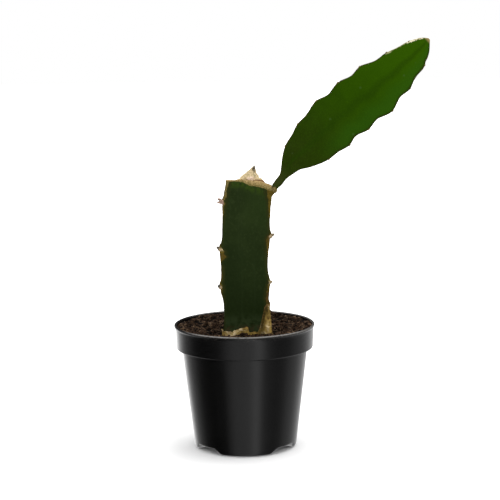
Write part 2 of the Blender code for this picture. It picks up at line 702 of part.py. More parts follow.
def branch_point(station, across_by, back_by):
    along, across, back = branch_frame()
    return (
        np.array(BRANCH_ROOT)
        + np.multiply.outer(np.asarray(station), along)
        + np.multiply.outer(np.asarray(across_by), across)
        + np.multiply.outer(np.asarray(back_by), back)
    )


def make_branch(parts, material):
    stations = np.concatenate(
        [np.linspace(0, BRANCH_LENGTH, 42), UPPER_AREOLES, LOWER_AREOLES, BACK_RIB_AREOLES]
    )
    stations = np.unique(np.round(stations, 4))
    stations = stations[np.insert(np.diff(stations) > 0.0012, 0, True)]
    middle, backwards, half_width, back = branch_shape(stations)
    forward = math.cos(WING_FORWARD)
    wing = half_width / forward
    core = np.minimum(0.0042, 0.55 * half_width)
    angles = (-WING_FORWARD, math.pi / 2, math.pi + WING_FORWARD)
    edge = np.minimum(BRANCH_EDGE_HALF, 0.4 * half_width)
    sections = ribbed_sections(
        angles, [wing, back, wing], edge, [core, core, 0.45 * core], rounding=0.0004, edge_points=3
    )
    base = branch_point(stations, middle, backwards)
    _, across, back_way = branch_frame()
    rings = base[:, None] + sections[..., :1] * across + sections[..., 1:] * back_way
    branch = loft("branch", rings, parts, material)
    thorns = new_collection("branch_thorns", parts)
    draw = random.Random("branch")
    for name, areoles, angle in (
        ("upper", UPPER_AREOLES, angles[0]),
        ("back", BACK_RIB_AREOLES, angles[1]),
        ("lower", LOWER_AREOLES, angles[2]),
    ):
        for number, station in enumerate(areoles):
            middle, backwards, half_width, back = branch_shape(np.array([station]))
            reach = (back if name == "back" else half_width / forward)[0] - 0.0004
            step = direction(angle) * reach
            place = branch_point(station, middle[0] + step[0], backwards[0] + step[1])
            outward = direction(angle)[0] * across + direction(angle)[1] * back_way
            aim = outward + 0.5 * branch_frame()[0] + back_way * draw.uniform(-0.2, 0.2)
            spine(f"branch_thorn_{name}_{number}", place, aim, 0.0020, 0.0005, thorns)
    fuse(branch, thorns)
    return branch


def main():
    clear_scene()
    scene = bpy.context.scene.collection
    parts = new_collection("dragon_fruit_cactus", scene)
    cutters = new_collection("cutters", scene)
    plastic = new_material("black_plastic", (0.014, 0.014, 0.015), 0.38)
    peat = new_material("peat", (0.040, 0.024, 0.016), 0.95)
    flesh = new_material("stem_green", (0.016, 0.032, 0.008), 0.45)
    cork = new_material("cork", (0.36, 0.25, 0.12), 0.85)
    callus = new_material("callus", (0.50, 0.39, 0.22), 0.85)
    young = new_material("branch_green", (0.030, 0.085, 0.006), 0.42)
    make_pot(parts, cutters, plastic)
    make_soil(parts, cutters, peat)
    make_stem(parts, flesh)
    make_foot_skin(parts, cork)
    make_margin("left_margin", 0, 0.1090, 0.0006, LEFT_AREOLES, parts, cork)
    make_margin("right_margin", 1, 0.1205, 0.0006, RIGHT_AREOLES, parts, cork)
    make_margin("back_margin", 2, 0.1050, 0.0006, BACK_AREOLES, parts, cork)
    make_callus(parts, callus)
    make_branch(parts, young)


main()
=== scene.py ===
# %% [markdown]
# A dragon fruit cutting in a nursery pot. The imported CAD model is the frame, and each part of it gets
# a finer surface here: the green stem with its corky ribs, the dried cut end, the young branch, the
# peat and the black pot. Every surface is worked out with numpy as a function of two numbers, one
# along it and one round it, and is then handed to Blender as a mesh.

# %% Load the frame
import itertools
import json
import math

import bpy
import numpy as np
from mathutils import Matrix

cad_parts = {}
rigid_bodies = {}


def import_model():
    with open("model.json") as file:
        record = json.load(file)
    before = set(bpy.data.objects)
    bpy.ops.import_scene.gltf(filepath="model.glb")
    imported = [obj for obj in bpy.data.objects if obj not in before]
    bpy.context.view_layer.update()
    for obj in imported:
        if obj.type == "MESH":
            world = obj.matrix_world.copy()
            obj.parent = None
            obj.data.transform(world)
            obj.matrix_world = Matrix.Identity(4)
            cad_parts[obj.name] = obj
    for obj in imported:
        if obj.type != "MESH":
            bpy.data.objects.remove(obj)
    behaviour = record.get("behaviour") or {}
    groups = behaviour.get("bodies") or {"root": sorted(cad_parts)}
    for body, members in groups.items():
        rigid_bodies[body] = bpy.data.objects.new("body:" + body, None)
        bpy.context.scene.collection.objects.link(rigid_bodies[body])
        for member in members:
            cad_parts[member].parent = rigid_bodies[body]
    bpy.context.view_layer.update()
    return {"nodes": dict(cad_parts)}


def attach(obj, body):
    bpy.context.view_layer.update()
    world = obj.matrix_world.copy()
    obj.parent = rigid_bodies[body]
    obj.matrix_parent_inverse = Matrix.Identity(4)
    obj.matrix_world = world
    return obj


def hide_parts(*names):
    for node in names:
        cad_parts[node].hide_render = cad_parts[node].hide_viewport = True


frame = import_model()
print("CAD nodes:", ", ".join(sorted(frame["nodes"])))

# %% [markdown]
# The camera stands 1.7 m in front and looks down a little. It is set from the pot's rim and foot, whose
# ellipses give the height and the pitch, and the small roll is the photograph's own.

# %% Camera
CAMERA_PLACE = (0.0, -1.7, 0.4502)
CAMERA_PITCH = math.radians(9.298)
CAMERA_YAW = math.radians(0.193)
CAMERA_ROLL = math.radians(-0.736)
CAMERA_LENS = 144.4


def add_object(name, data):
    """An object with this data, linked to the scene."""
    made = bpy.data.objects.new(name, data)
    bpy.context.scene.collection.objects.link(made)
    return made


def standing(place, x, y, z):
    """The matrix of a thing at a place whose own axes point along x, y and z."""
    return Matrix([(x[k], y[k], z[k], place[k]) for k in range(3)] + [(0, 0, 0, 1)])


def camera_axes():
    """Right, up and forward of a camera that is yawed, pitched down and rolled, in that order."""
    forward = np.array([
        math.sin(CAMERA_YAW) * math.cos(CAMERA_PITCH),
        math.cos(CAMERA_YAW) * math.cos(CAMERA_PITCH),
        -math.sin(CAMERA_PITCH),
    ])
    level = np.array([math.cos(CAMERA_YAW), -math.sin(CAMERA_YAW), 0.0])
    above = np.cross(level, forward)
    right = math.cos(CAMERA_ROLL) * level + math.sin(CAMERA_ROLL) * above
    return right, np.cross(right, forward), forward


right, up, forward = camera_axes()
lens = bpy.data.cameras.new("camera")
lens.lens = CAMERA_LENS
camera = add_object("camera", lens)
camera.matrix_world = standing(CAMERA_PLACE, right, up, -forward)
bpy.context.scene.camera = camera
print("camera at", CAMERA_PLACE)

# %% [markdown]
# Materials are built with a few small helpers. Each adds one node and joins its inputs in one call,
# and because a socket knows the tree that it belongs to, most of them need no tree. Two effects are
# used by several finishes, so each is a node group: "mottle" gives a soft blotchy mask, and "grain"
# gives a fine height for the Bump node. The Principled shader stays in the material itself.

# %% Node helpers and shared groups
def add_node(tree, kind, inputs=None, **settings):
    """Adds a node. An input takes a plain value or another node's output."""
    node = tree.nodes.new("ShaderNode" + kind)
    for name, value in settings.items():
        setattr(node, name, value)
    for name, value in (inputs or {}).items():
        if isinstance(value, bpy.types.NodeSocket):
            tree.links.new(value, node.inputs[name])
        else:
            node.inputs[name].default_value = value
    return node


def mixed(factor, first, second):
    """A colour between two colours. Each is a node's output, or red, green and blue."""
    first, second = [(*paint, 1.0) if isinstance(paint, tuple) else paint for paint in (first, second)]
    return add_node(factor.id_data, "Mix", {0: factor, 6: first, 7: second}, data_type="RGBA").outputs[2]


def ranged(value, low, high, to_low=0.0, to_high=1.0, smooth=True):
    """A value's range stretched onto another, clamped, with soft ends unless smooth is off."""
    limits = {"Value": value, "From Min": low, "From Max": high, "To Min": to_low, "To Max": to_high}
    kind = "SMOOTHSTEP" if smooth else "LINEAR"
    return add_node(value.id_data, "MapRange", limits, interpolation_type=kind).outputs[0]


def window(value, rise, risen, fall, fallen):
    """1 where a value lies between risen and fall, and 0 below rise and above fallen."""
    return times(ranged(value, rise, risen), ranged(value, fallen, fall))


def times(first, *others):
    """The product of node outputs and numbers, the first of them an output."""
    for other in others:
        first = add_node(first.id_data, "Math", {0: first, 1: other}, operation="MULTIPLY").outputs[0]
    return first


def plus(first, second):
    """The sum of a node's output and an output or number."""
    return add_node(first.id_data, "Math", {0: first, 1: second}, operation="ADD").outputs[0]


def attribute(tree, name):
    """A value that is stored at the mesh's points."""
    return add_node(tree, "Attribute", attribute_name=name).outputs["Fac"]


def object_place(tree):
    """The place on the object as a vector, and its X and its Z."""
    place = add_node(tree, "TexCoord").outputs["Object"]
    parts = add_node(tree, "SeparateXYZ", {0: place}).outputs
    return place, parts["X"], parts["Z"]


def distance(place, scale, point):
    """How far the place, scaled along each axis, lies from a point."""
    tree = place.id_data
    scaled = add_node(tree, "VectorMath", {0: place, 1: scale}, operation="MULTIPLY").outputs[0]
    return add_node(tree, "VectorMath", {0: scaled, 1: point}, operation="DISTANCE").outputs["Value"]


def new_group(name, output, inputs):
    """An empty node group with one output and float inputs (name, default)."""
    group = bpy.data.node_groups.new(name, "ShaderNodeTree")
    for socket_name, default in inputs:
        socket = group.interface.new_socket(socket_name, in_out="INPUT", socket_type="NodeSocketFloat")
        socket.default_value = default
    group.interface.new_socket(output, in_out="OUTPUT", socket_type="NodeSocketFloat")
    place = add_node(group, "TexCoord").outputs["Object"]
    return group, group.nodes.new("NodeGroupInput").outputs, place, group.nodes.new("NodeGroupOutput")


def build_mottle():
    """Blotches: fractal noise on object coordinates, cut between a low and a high level."""
    inputs = (("Scale", 100.0), ("Low", 0.45), ("High", 0.65))
    group, given, place, out = new_group("mottle", "Mask", inputs)
    cloud = add_node(group, "TexNoise", {"Vector": place, "Scale": given["Scale"], "Detail": 5.0})
    group.links.new(ranged(cloud.outputs["Fac"], given["Low"], given["High"]), out.inputs["Mask"])
    return group


def build_grain():
    """A fine height: small noise with a share of tiny cells, as in skin and moulded plastic."""
    inputs = (("Scale", 1500.0), ("Cells", 0.4))
    group, given, place, out = new_group("grain", "Height", inputs)
    cloud = add_node(group, "TexNoise", {"Vector": place, "Scale": given["Scale"], "Detail": 3.0})
    cells = add_node(group, "TexVoronoi", {"Vector": place, "Scale": given["Scale"]})
    part = times(cells.outputs["Distance"], given["Cells"])
    group.links.new(plus(cloud.outputs["Fac"], part), out.inputs["Height"])
    return group


mottle_group, grain_group = build_mottle(), build_grain()


def mottle(tree, scale, low, high):
    """The mottle group's mask, with blotches about 1 / scale metres across."""
    inputs = {"Scale": scale, "Low": low, "High": high}
    return add_node(tree, "Group", inputs, node_tree=mottle_group).outputs["Mask"]


def grain(tree, scale, cells):
    """The grain group's height, with a share of cells."""
    inputs = {"Scale": scale, "Cells": cells}
    return add_node(tree, "Group", inputs, node_tree=grain_group).outputs["Height"]


def roughened(value, scale, amount, low=0.3, high=0.7, middle=0.5):
    """A value with blotches of an amount added, so that a border drawn at a level of it is torn."""
    return plus(value, times(plus(mottle(value.id_data, scale, low, high), -middle), amount))


def new_material(name, roughness, specular):
    """A material with a plain roughness and specular level, whose colour and bump are joined later."""
    material = bpy.data.materials.new(name)
    material.use_nodes = True
    shader = material.node_tree.nodes["Principled BSDF"]
    shader.inputs["Roughness"].default_value = roughness
    shader.inputs["Specular IOR Level"].default_value = specular
    return material, material.node_tree, shader


def dressed(material, paint, height, depth):
    """Joins the colour and a Bump node, from a height of about 0 to 1 whose depth is in metres."""
    tree = material.node_tree
    shader = tree.nodes["Principled BSDF"]
    tree.links.new(paint, shader.inputs["Base Color"])
    bump = add_node(tree, "Bump", {"Height": height, "Distance": depth, "Strength": 1.0})
    tree.links.new(bump.outputs[0], shader.inputs["Normal"])
    return material


print("groups:", [group.name for group in bpy.data.node_groups])

# %% [markdown]
# A plant on a white table under soft light: a wide light overhead, which gives the soft shadow at the
# pot's foot, and another in front on the right. Reflections don't see the two lights, because the
# glossy pot gets its own surroundings in the next step.

# %% Floor and lights
FLOOR_HALF = 4.0
FLOOR_GREY = 0.84
# Metres from the pot where the table begins to glow, and where the glow is full.
GLOW_FROM = 0.25
GLOW_FULL = 1.0


def add_floor():
    """A white table that glows away from the pot, as a lit photo table does, so that it stays white."""
    mesh = bpy.data.meshes.new("floor")
    corners = [(x * FLOOR_HALF, y * FLOOR_HALF, 0) for x, y in ((-1, -1), (1, -1), (1, 1), (-1, 1))]
    mesh.from_pydata(corners, [], [(0, 1, 2, 3)])
    white, tree, shader = new_material("floor_white", 0.9, 0.0)
    shader.inputs["Base Color"].default_value = (FLOOR_GREY, FLOOR_GREY, FLOOR_GREY, 1)
    shader.inputs["Emission Strength"].default_value = 1.0
    place = add_node(tree, "TexCoord").outputs["Object"]
    away = add_node(tree, "VectorMath", {0: place}, operation="LENGTH").outputs["Value"]
    tree.links.new(ranged(away, GLOW_FROM, GLOW_FULL, smooth=False), shader.inputs["Emission Color"])
    mesh.materials.append(white)
    floor = add_object("floor", mesh)
    floor.visible_glossy = False


def unit(vectors):
    """Vectors of any array brought to length 1."""
    vectors = np.asarray(vectors, float)
    return vectors / np.linalg.norm(vectors, axis=-1, keepdims=True)


def add_area(name, place, aim, size, watts):
    """A square light at a place, facing another place."""
    light = bpy.data.lights.new(name, "AREA")
    light.shape = "RECTANGLE"
    light.size = light.size_y = size
    light.energy = watts
    way = unit(np.subtract(place, aim))
    side = unit(np.cross((0, 0, 1), way))
    lamp = add_object(name, light)
    lamp.matrix_world = standing(place, side, np.cross(way, side), way)
    lamp.visible_glossy = False


add_floor()
add_area("overhead", (0.2, 0.18, 1.4), (0, 0, 0.1), 1.0, 13)
add_area("front", (0.45, -1.5, 0.9), (0, 0, 0.15), 1.2, 4.5)
bpy.context.scene.view_settings.view_transform = "Standard"

# %% [markdown]
# What a glossy black thing shows is what stands round it. The photograph's pot reflects a broad soft
# box at the front, black card on both sides of it, and the white table behind, which draws its edges.
# Those are set on the world as grey values round the compass, three times: for reflections that go
# well down, for nearly level ones and for those that go up. Matt surfaces get an even fill, and the
# camera sees white.

# %% World
WORLD_FILL = 1.25
REFLECTED_TOP = 3.0
# The rise of a reflection's direction, -1 down to 1 up, over which each set of greys gives way to the
# next: down to level, level to up, and up to the overhead light.
TO_LEVEL = (-0.32, -0.2)
TO_UP = (-0.06, 0.05)
TO_TOP = (0.55, 0.75)
# A colour ramp holds values up to 1, so it holds this part of each and the result is scaled back.
RAMP_RANGE = 5.0
# Degrees from the camera's side, to the right positive, and how bright the studio is there, for
# reflections that go well down, to the height of the table, and up.
STUDIO_DOWN = (
    (-180, 1.0), (-165, 1.3), (-150, 1.22), (-134, 0.6), (-120, 0.36), (-108, 0.22), (-98, 0.09),
    (-88, 0.04), (-73, 0.01), (-44, 0.05), (-33, 0.3), (-21, 0.52), (-5, 0.53), (10, 0.62), (23, 1.08),
    (30, 0.78), (37, 0.34), (46, 0.23), (58, 0.17), (70, 0.15), (83, 0.22), (95, 0.4), (115, 0.48),
    (129, 0.66), (148, 0.8), (165, 1.0), (180, 1.0),
)
STUDIO_LEVEL = (
    (-180, 1.4), (-165, 2.9), (-150, 2.3), (-134, 1.3), (-122, 0.62), (-113, 0.33), (-104, 0.24),
    (-96, 0.1), (-86, 0.03), (-76, 0.005), (-48, 0.06), (-37, 0.17), (-28, 0.3), (-21, 0.52), (-15, 0.66),
    (-5, 0.56), (9, 0.56), (15, 0.66), (24, 1.05), (30, 0.8), (38, 0.42), (46, 0.17), (55, 0.1),
    (83, 0.14), (95, 0.3), (115, 0.5), (129, 0.8), (148, 1.2), (165, 1.0), (180, 1.0),
)
STUDIO_UP = (
    (-180, 0.08), (-120, 0.06), (-73, 0.01), (-38, 0.05), (-21, 0.5), (-5, 0.55), (10, 0.6), (24, 1.05),
    (37, 0.4), (46, 0.2), (83, 0.1), (180, 0.08),
)


def compass(turn, stops):
    """The brightness round the compass, read off a ramp of stops at a turn from 0 to 1."""
    ramp = add_node(turn.id_data, "ValToRGB", {0: turn})
    elements = ramp.color_ramp.elements
    while len(elements) < len(stops):
        elements.new(0.5)
    for element, (degrees, bright) in zip(elements, stops):
        element.position = degrees / 360 + 0.5
        element.color = (bright / RAMP_RANGE, bright / RAMP_RANGE, bright / RAMP_RANGE, 1)
    return times(ramp.outputs["Color"], RAMP_RANGE)


def blended(factor, first, second):
    """A number between two numbers."""
    return add_node(factor.id_data, "Mix", {0: factor, 2: first, 3: second}).outputs[0]


def add_world():
    """An even fill for matt surfaces, the studio's greys for glossy ones, white for the camera."""
    world = bpy.data.worlds.new("studio")
    bpy.context.scene.world = world
    world.use_nodes = True
    tree = world.node_tree
    tree.nodes.clear()
    path = add_node(tree, "LightPath").outputs
    parts = add_node(tree, "SeparateXYZ", {0: add_node(tree, "TexCoord").outputs["Generated"]}).outputs
    towards = times(parts["Y"], -1.0)
    angle = add_node(tree, "Math", {0: parts["X"], 1: towards}, operation="ARCTAN2").outputs[0]
    shares = {0: angle, 1: 0.5 / math.pi, 2: 0.5}
    turn = add_node(tree, "Math", shares, operation="MULTIPLY_ADD").outputs[0]
    studio = compass(turn, STUDIO_DOWN)
    for limits, stops in ((TO_LEVEL, STUDIO_LEVEL), (TO_UP, STUDIO_UP)):
        studio = blended(ranged(parts["Z"], *limits, smooth=False), studio, compass(turn, stops))
    studio = blended(ranged(parts["Z"], *TO_TOP, smooth=False), studio, REFLECTED_TOP)
    fill = blended(path["Is Glossy Ray"], WORLD_FILL, studio)
    seen = blended(path["Is Camera Ray"], fill, 1.0)
    background = add_node(tree, "Background", {"Strength": seen, "Color": (1, 1, 1, 1)})
    add_node(tree, "OutputWorld", {"Surface": background.outputs[0]})


add_world()
print("studio stops:", len(STUDIO_DOWN), len(STUDIO_LEVEL), len(STUDIO_UP))

# %% [markdown]
# The maths that every piece uses: a smooth curve through measured points, an eased step, a bell, and
# noise that is the same each run. The noise puts a fixed random value on each corner of a lattice of
# cubes and eases between the corners, so it can be worked out for a whole array of points at once.

# %% Curves and noise
def between(points, at):
    """A smooth curve through (place, value) points: cubic pieces whose slopes are set at the points."""
    places, values = np.array(points, float).T
    return through(values, places, at)


def through(rows, places, at):
    """Rows of anything carried smoothly from place to place, read off at the places in at."""
    rows, places = np.asarray(rows, float), np.asarray(places, float)
    slopes = np.gradient(rows, places, axis=0)
    at = np.clip(np.asarray(at, float), places[0], places[-1])
    k = np.clip(np.searchsorted(places, at, side="right") - 1, 0, len(places) - 2)
    extra = (1,) * (rows.ndim - 1)
    width = (places[k + 1] - places[k]).reshape(k.shape + extra)
    t = (at - places[k]).reshape(k.shape + extra) / width
    start = (1 + 2 * t) * (1 - t) ** 2 * rows[k] + t**2 * (3 - 2 * t) * rows[k + 1]
    return start + width * (t * (1 - t) ** 2 * slopes[k] - t**2 * (1 - t) * slopes[k + 1])


def eased(x, low, high):
    """0 below low, 1 above high, and a smooth S between them."""
    t = np.clip((np.asarray(x, float) - low) / (high - low), 0, 1)
    return t * t * (3 - 2 * t)


def bell(x, middle, half, power=2):
    """e to the minus u to a power, where u is the distance from the middle over half: 1 at the middle."""
    return np.exp(-(((x - middle) / half) ** power))


def direction(angle):
    """The flat direction (x, y) at an angle."""
    return np.array([math.cos(angle), math.sin(angle)])


def axes_at(angle):
    """The direction at an angle, and the one a quarter turn on."""
    return direction(angle), direction(angle + math.pi / 2)


def lattice_value(cells, seed):
    """A fixed random value from -1 to 1 for each whole-numbered lattice corner."""
    key = cells[..., 0] * 73856093 ^ cells[..., 1] * 19349663 ^ cells[..., 2] * 83492791 ^ seed * 40503
    key = (key ^ (key >> 13)) * 1274126177
    return ((key ^ (key >> 16)) & 0xFFFFFF) / 0x7FFFFF - 1


def noise(points, size, seed, octaves=1):
    """Smooth noise from about -1 to 1 in cells of a size; each octave halves size and strength."""
    total = 0.0
    for octave in range(octaves):
        scaled = np.asarray(points, float) / size * 2**octave
        cell = np.floor(scaled).astype(np.int64)
        t = scaled - cell
        t = t * t * (3 - 2 * t)
        for corner in itertools.product((0, 1), repeat=3):
            weight = np.prod(np.where(np.array(corner) == 1, t, 1 - t), axis=-1)
            total = total + weight * lattice_value(cell + np.array(corner), seed + octave) / 2**octave
    return total


print("noise at three points:", noise(np.eye(3) * 0.01, 0.004, 1).round(2))

# %% [markdown]
# A grid of points becomes a mesh in one way for all pieces: quads between its rows and round its
# columns, and a fan to a single point at each end, so that the piece is closed. Points run
# counter-clockwise seen from the last row, which makes all faces look outwards.

# %% From a grid of points to a piece
def grid_quads(rows, columns):
    """Corner numbers of the quads of a grid that closes round its columns."""
    r, c = np.arange(rows - 1)[:, None], np.arange(columns)[None, :]
    beside = (c + 1) % columns
    corners = (r * columns + c, r * columns + beside, (r + 1) * columns + beside, (r + 1) * columns + c)
    return np.stack(corners, axis=-1).reshape(-1, 4)


def grid_caps(rows, columns):
    """Corner numbers of the two fans that close a grid at its first and last row."""
    c = np.arange(columns)
    beside, last = (c + 1) % columns, (rows - 1) * columns
    foot = np.column_stack([beside, c, np.full(columns, rows * columns)])
    head = np.column_stack([last + c, last + beside, np.full(columns, rows * columns + 1)])
    return np.concatenate([foot, head])


def closed_grid(rings, start, end):
    """Points and faces of a closed skin through rings (rows, columns, 3), with a point at each end."""
    size = rings.shape[:2]
    points = np.concatenate([rings.reshape(-1, 3), [start, end]])
    return points, grid_quads(*size).tolist() + grid_caps(*size).tolist()


def grid_normals(rings):
    """Outward direction at each point of a grid: along the rows crossed with up the columns."""
    around = np.roll(rings, -1, axis=1) - np.roll(rings, 1, axis=1)
    normals = np.cross(around, np.gradient(rings, axis=0))
    return normals / np.maximum(np.linalg.norm(normals, axis=-1, keepdims=True), 1e-12)


def at_height(flat, height):
    """Points (x, y) lifted to one height, or to a height for each."""
    return np.column_stack([flat[:, :2], np.broadcast_to(height, len(flat))])


def add_piece(name, points, faces, material, stands_for=(), values=None):
    """Makes the mesh with its point values, and lets it ride with the plant and pot."""
    mesh = bpy.data.meshes.new(name)
    mesh.from_pydata(np.asarray(points, float).tolist(), [], faces)
    for value_name, numbers in (values or {}).items():
        stored = mesh.attributes.new(value_name, "FLOAT", "POINT")
        stored.data.foreach_set("value", np.asarray(numbers, np.float32).ravel())
    mesh.shade_smooth()
    mesh.materials.append(material)
    piece = add_object(name, mesh)
    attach(piece, "root")
    if stands_for:
        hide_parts(*stands_for)
    print(f"{name}: {sum(len(face) - 2 for face in faces)} triangles")
    return piece


def end_values(grid, start, end):
    """The grid's values with those of the two end points after them."""
    return np.concatenate([np.asarray(grid, float).ravel(), [start, end]])


# %% [markdown]
# The stem is an old three-ribbed shoot. Seen from the front its two side ribs are almost straight
# lines, with a swelling at each areole, and the third rib points backwards. Its section is worked out
# from the ribs' measured distances at each height: a small rounded edge on each rib, and between two
# ribs a face that dips to a shallow valley.

# %% The stem's measures
STEM_AXIS_X = 0.002
STEM_BURIED_TO = 0.0553
STEM_GROUND = 0.098
STEM_TOP = 0.2331
# Place across the stem, and how far the cut end falls there on its way to the right shoulder.
STEM_SHOULDER = (
    (0.0, 0.0006), (0.0035, 0.0024), (0.0077, 0.0037), (0.017, 0.0058), (0.0206, 0.007), (0.0262, 0.0092),
)
STEM_TOP_FRONT = -0.0115
STEM_TOP_TILT = 0.15
RIB_ANGLES = tuple(math.radians(turn) for turn in (-150, -30, 90))
RIB_EDGE_HALF = 0.0019
RIB_ROUNDING = 0.0013
FACE_DISTANCE = 0.0092
# Height, and how far the rib's edge lies from the axis line, seen from the front: left, right, back.
MARGINS = (
    (
        (0.098, 0.0207), (0.108, 0.0196), (0.122, 0.0191), (0.13, 0.0197), (0.138, 0.0218),
        (0.144, 0.0221), (0.15, 0.0213), (0.165, 0.0215), (0.173, 0.022), (0.177, 0.0218),
        (0.183, 0.0202), (0.192, 0.0196), (0.203, 0.0192), (0.215, 0.019), (0.222, 0.0179),
        (0.234, 0.0158),
    ),
    (
        (0.098, 0.0213), (0.112, 0.0204), (0.122, 0.0196), (0.129, 0.0191), (0.14, 0.02), (0.146, 0.0203),
        (0.156, 0.0188), (0.17, 0.0191), (0.182, 0.0208), (0.188, 0.0213), (0.195, 0.0208),
        (0.203, 0.021), (0.212, 0.0217), (0.22, 0.0226), (0.234, 0.024),
    ),
    (
        (0.098, 0.0205), (0.11, 0.0197), (0.118, 0.0206), (0.128, 0.0199), (0.146, 0.0207),
        (0.157, 0.0218), (0.164, 0.0204), (0.182, 0.0203), (0.196, 0.0214), (0.203, 0.02),
        (0.222, 0.0192), (0.234, 0.018),
    ),
)
# Heights of the areoles on each rib, and the bell-shaped cushion at each: half width and height.
AREOLES = ((0.1445, 0.177, 0.217), (0.127, 0.1465, 0.1875), (0.118, 0.157, 0.196))
AREOLE_HALF = 0.0022
CUSHION = 0.0009
KNUCKLE_FLARE = 0.0034


def rib_reach(rib, heights, plain=False):
    """How far a rib's edge stands from the axis.

    That is its measured line and, unless it is plain, a bell-shaped cushion at each areole and the right
    rib's flare under the branch.
    """
    line = between(MARGINS[rib], heights) / math.cos(RIB_ANGLES[1])
    if plain:
        return line
    cushion = sum(bell(heights, place, AREOLE_HALF) for place in AREOLES[rib])
    flare = KNUCKLE_FLARE * eased(heights, 0.219, 0.225) if rib == 1 else 0.0
    return line + CUSHION * cushion + flare


def cut_end(x, y):
    """Height of the cut end: level on the left, falling to the right shoulder and to the back."""
    shoulder = between(STEM_SHOULDER, x) * eased(x, -0.004, 0.001)
    return STEM_TOP - shoulder - STEM_TOP_TILT * (np.asarray(y) - STEM_TOP_FRONT)


print("ribs at 150 mm:", [round(float(rib_reach(k, 0.15)) * 1000, 1) for k in range(3)])

# %% The stem's section
EDGE_POINTS = 11
FACE_POINTS = 16
COLUMNS = 3 * (EDGE_POINTS + 2 * FACE_POINTS + 1)


def face_curve(corner, valley, along, t):
    """A parabola from a rib's corner to the valley, which it reaches along the face."""
    lead = 0.5 * np.linalg.norm(valley - corner, axis=-1, keepdims=True)
    control = valley + lead * along
    return (1 - t) ** 2 * corner + 2 * t * (1 - t) * control + t**2 * valley


def ribbed_section(angles, reaches, valleys, edge_half, rounding, edge_points, face_points):
    """Points round a three-ribbed shoot, (rows, columns, 2).

    On each rib, w runs from -1 to 1 across the edge, which falls back by the rounding times w squared.
    On each face, t runs along a parabola from the rib's corner to the valley and on to the next rib.
    reaches holds, for each rib and the face after it, how far this rib and the next one stand out.
    """
    w = np.linspace(-1, 1, edge_points)[:, None]
    t = np.linspace(0, 1, face_points + 2)[1:-1, None]
    columns = edge_points + 2 * face_points + 1
    parts = []
    for k, angle in enumerate(angles):
        following = angles[(k + 1) % 3]
        (out, side), (next_out, next_side) = axes_at(angle), axes_at(following)
        middle, along = axes_at(angle + (following - angle) % (2 * math.pi) / 2)
        reach, next_reach = [np.broadcast_to(own, (len(own), columns))[..., None] for own in reaches[k]]
        valley = valleys[k] * middle
        edge = (reach[:, :edge_points] - rounding * w**2) * out + w * edge_half * side
        falling = reach[:, edge_points:edge_points + face_points]
        corner = (falling - rounding) * out + edge_half * side
        next_corner = (next_reach[:, -face_points:] - rounding) * next_out - edge_half * next_side
        bottom = np.broadcast_to(valley, (len(edge), 1, 2))
        parts += [edge, face_curve(corner, valley, -along, t), bottom]
        parts.append(face_curve(next_corner, valley, along, t[::-1]))
    return np.concatenate(parts, axis=1)


def stem_points(heights, plain=False):
    """Points round the stem, each at its own height in the grid (rows, columns)."""
    step = COLUMNS // 3
    reaches = []
    for k in range(3):
        own = heights[:, k * step:(k + 1) * step]
        reaches.append([rib_reach(rib, own, plain) for rib in (k, (k + 1) % 3)])
    flat = ribbed_section(
        RIB_ANGLES, reaches, [FACE_DISTANCE] * 3, RIB_EDGE_HALF, RIB_ROUNDING, EDGE_POINTS, FACE_POINTS
    )
    return np.dstack([flat[..., 0] + STEM_AXIS_X, flat[..., 1], heights])


def stem_outline(height, plain=False):
    """One ring of the stem at one height."""
    return stem_points(np.full((1, COLUMNS), height), plain)[0]


def drawn_in(ring, scale):
    """A ring shrunk towards the stem's axis."""
    return (ring - (STEM_AXIS_X, 0, 0)) * (scale, scale, 1) + (STEM_AXIS_X, 0, 0)


print("points round the stem:", COLUMNS)

# %% [markdown]
# The stem's skin is lofted from the ground to the sloping cut end. Each ring lies a fixed share of the
# way up, column by column, so the last ring follows the cut. Old ribs turn to cork on their edges, in a
# band whose width changes from areole to areole. Three values are stored at the points for the
# material: how far each point lies outside the cork, how weathered the cork is, and how far below the
# cut the point is.

# %% Stem skin
STEM_ROWS = 240
RIB_COLUMNS = [k * (COLUMNS // 3) + EDGE_POINTS // 2 for k in range(3)]
# Height, and how far the cork reaches from the rib's edge: left, right and back rib.
CORK_WIDTHS = (
    (
        (0.098, -0.0005), (0.128, -0.0003), (0.136, 0.0008), (0.143, 0.0024), (0.148, 0.0012),
        (0.158, 0.001), (0.1648, 0.0014), (0.1672, 0.0046), (0.1705, 0.0042), (0.1745, 0.0032),
        (0.178, 0.0013), (0.208, 0.0015), (0.218, 0.0024), (0.227, 0.0026), (0.234, 0.0034),
    ),
    (
        (0.098, 0.003), (0.118, 0.003), (0.134, 0.0025), (0.143, 0.002), (0.15, 0.0007), (0.168, 0.0008),
        (0.174, 0.0018), (0.18, 0.0027), (0.186, 0.0025), (0.19, 0.001), (0.203, 0.0011), (0.21, 0.0018),
        (0.2165, 0.0028), (0.2215, 0.0044), (0.2245, 0.0066), (0.234, 0.0085),
    ),
    (
        (0.098, 0.0026), (0.13, 0.0018), (0.157, 0.003), (0.175, 0.0018), (0.196, 0.003), (0.215, 0.002),
        (0.233, 0.003),
    ),
)
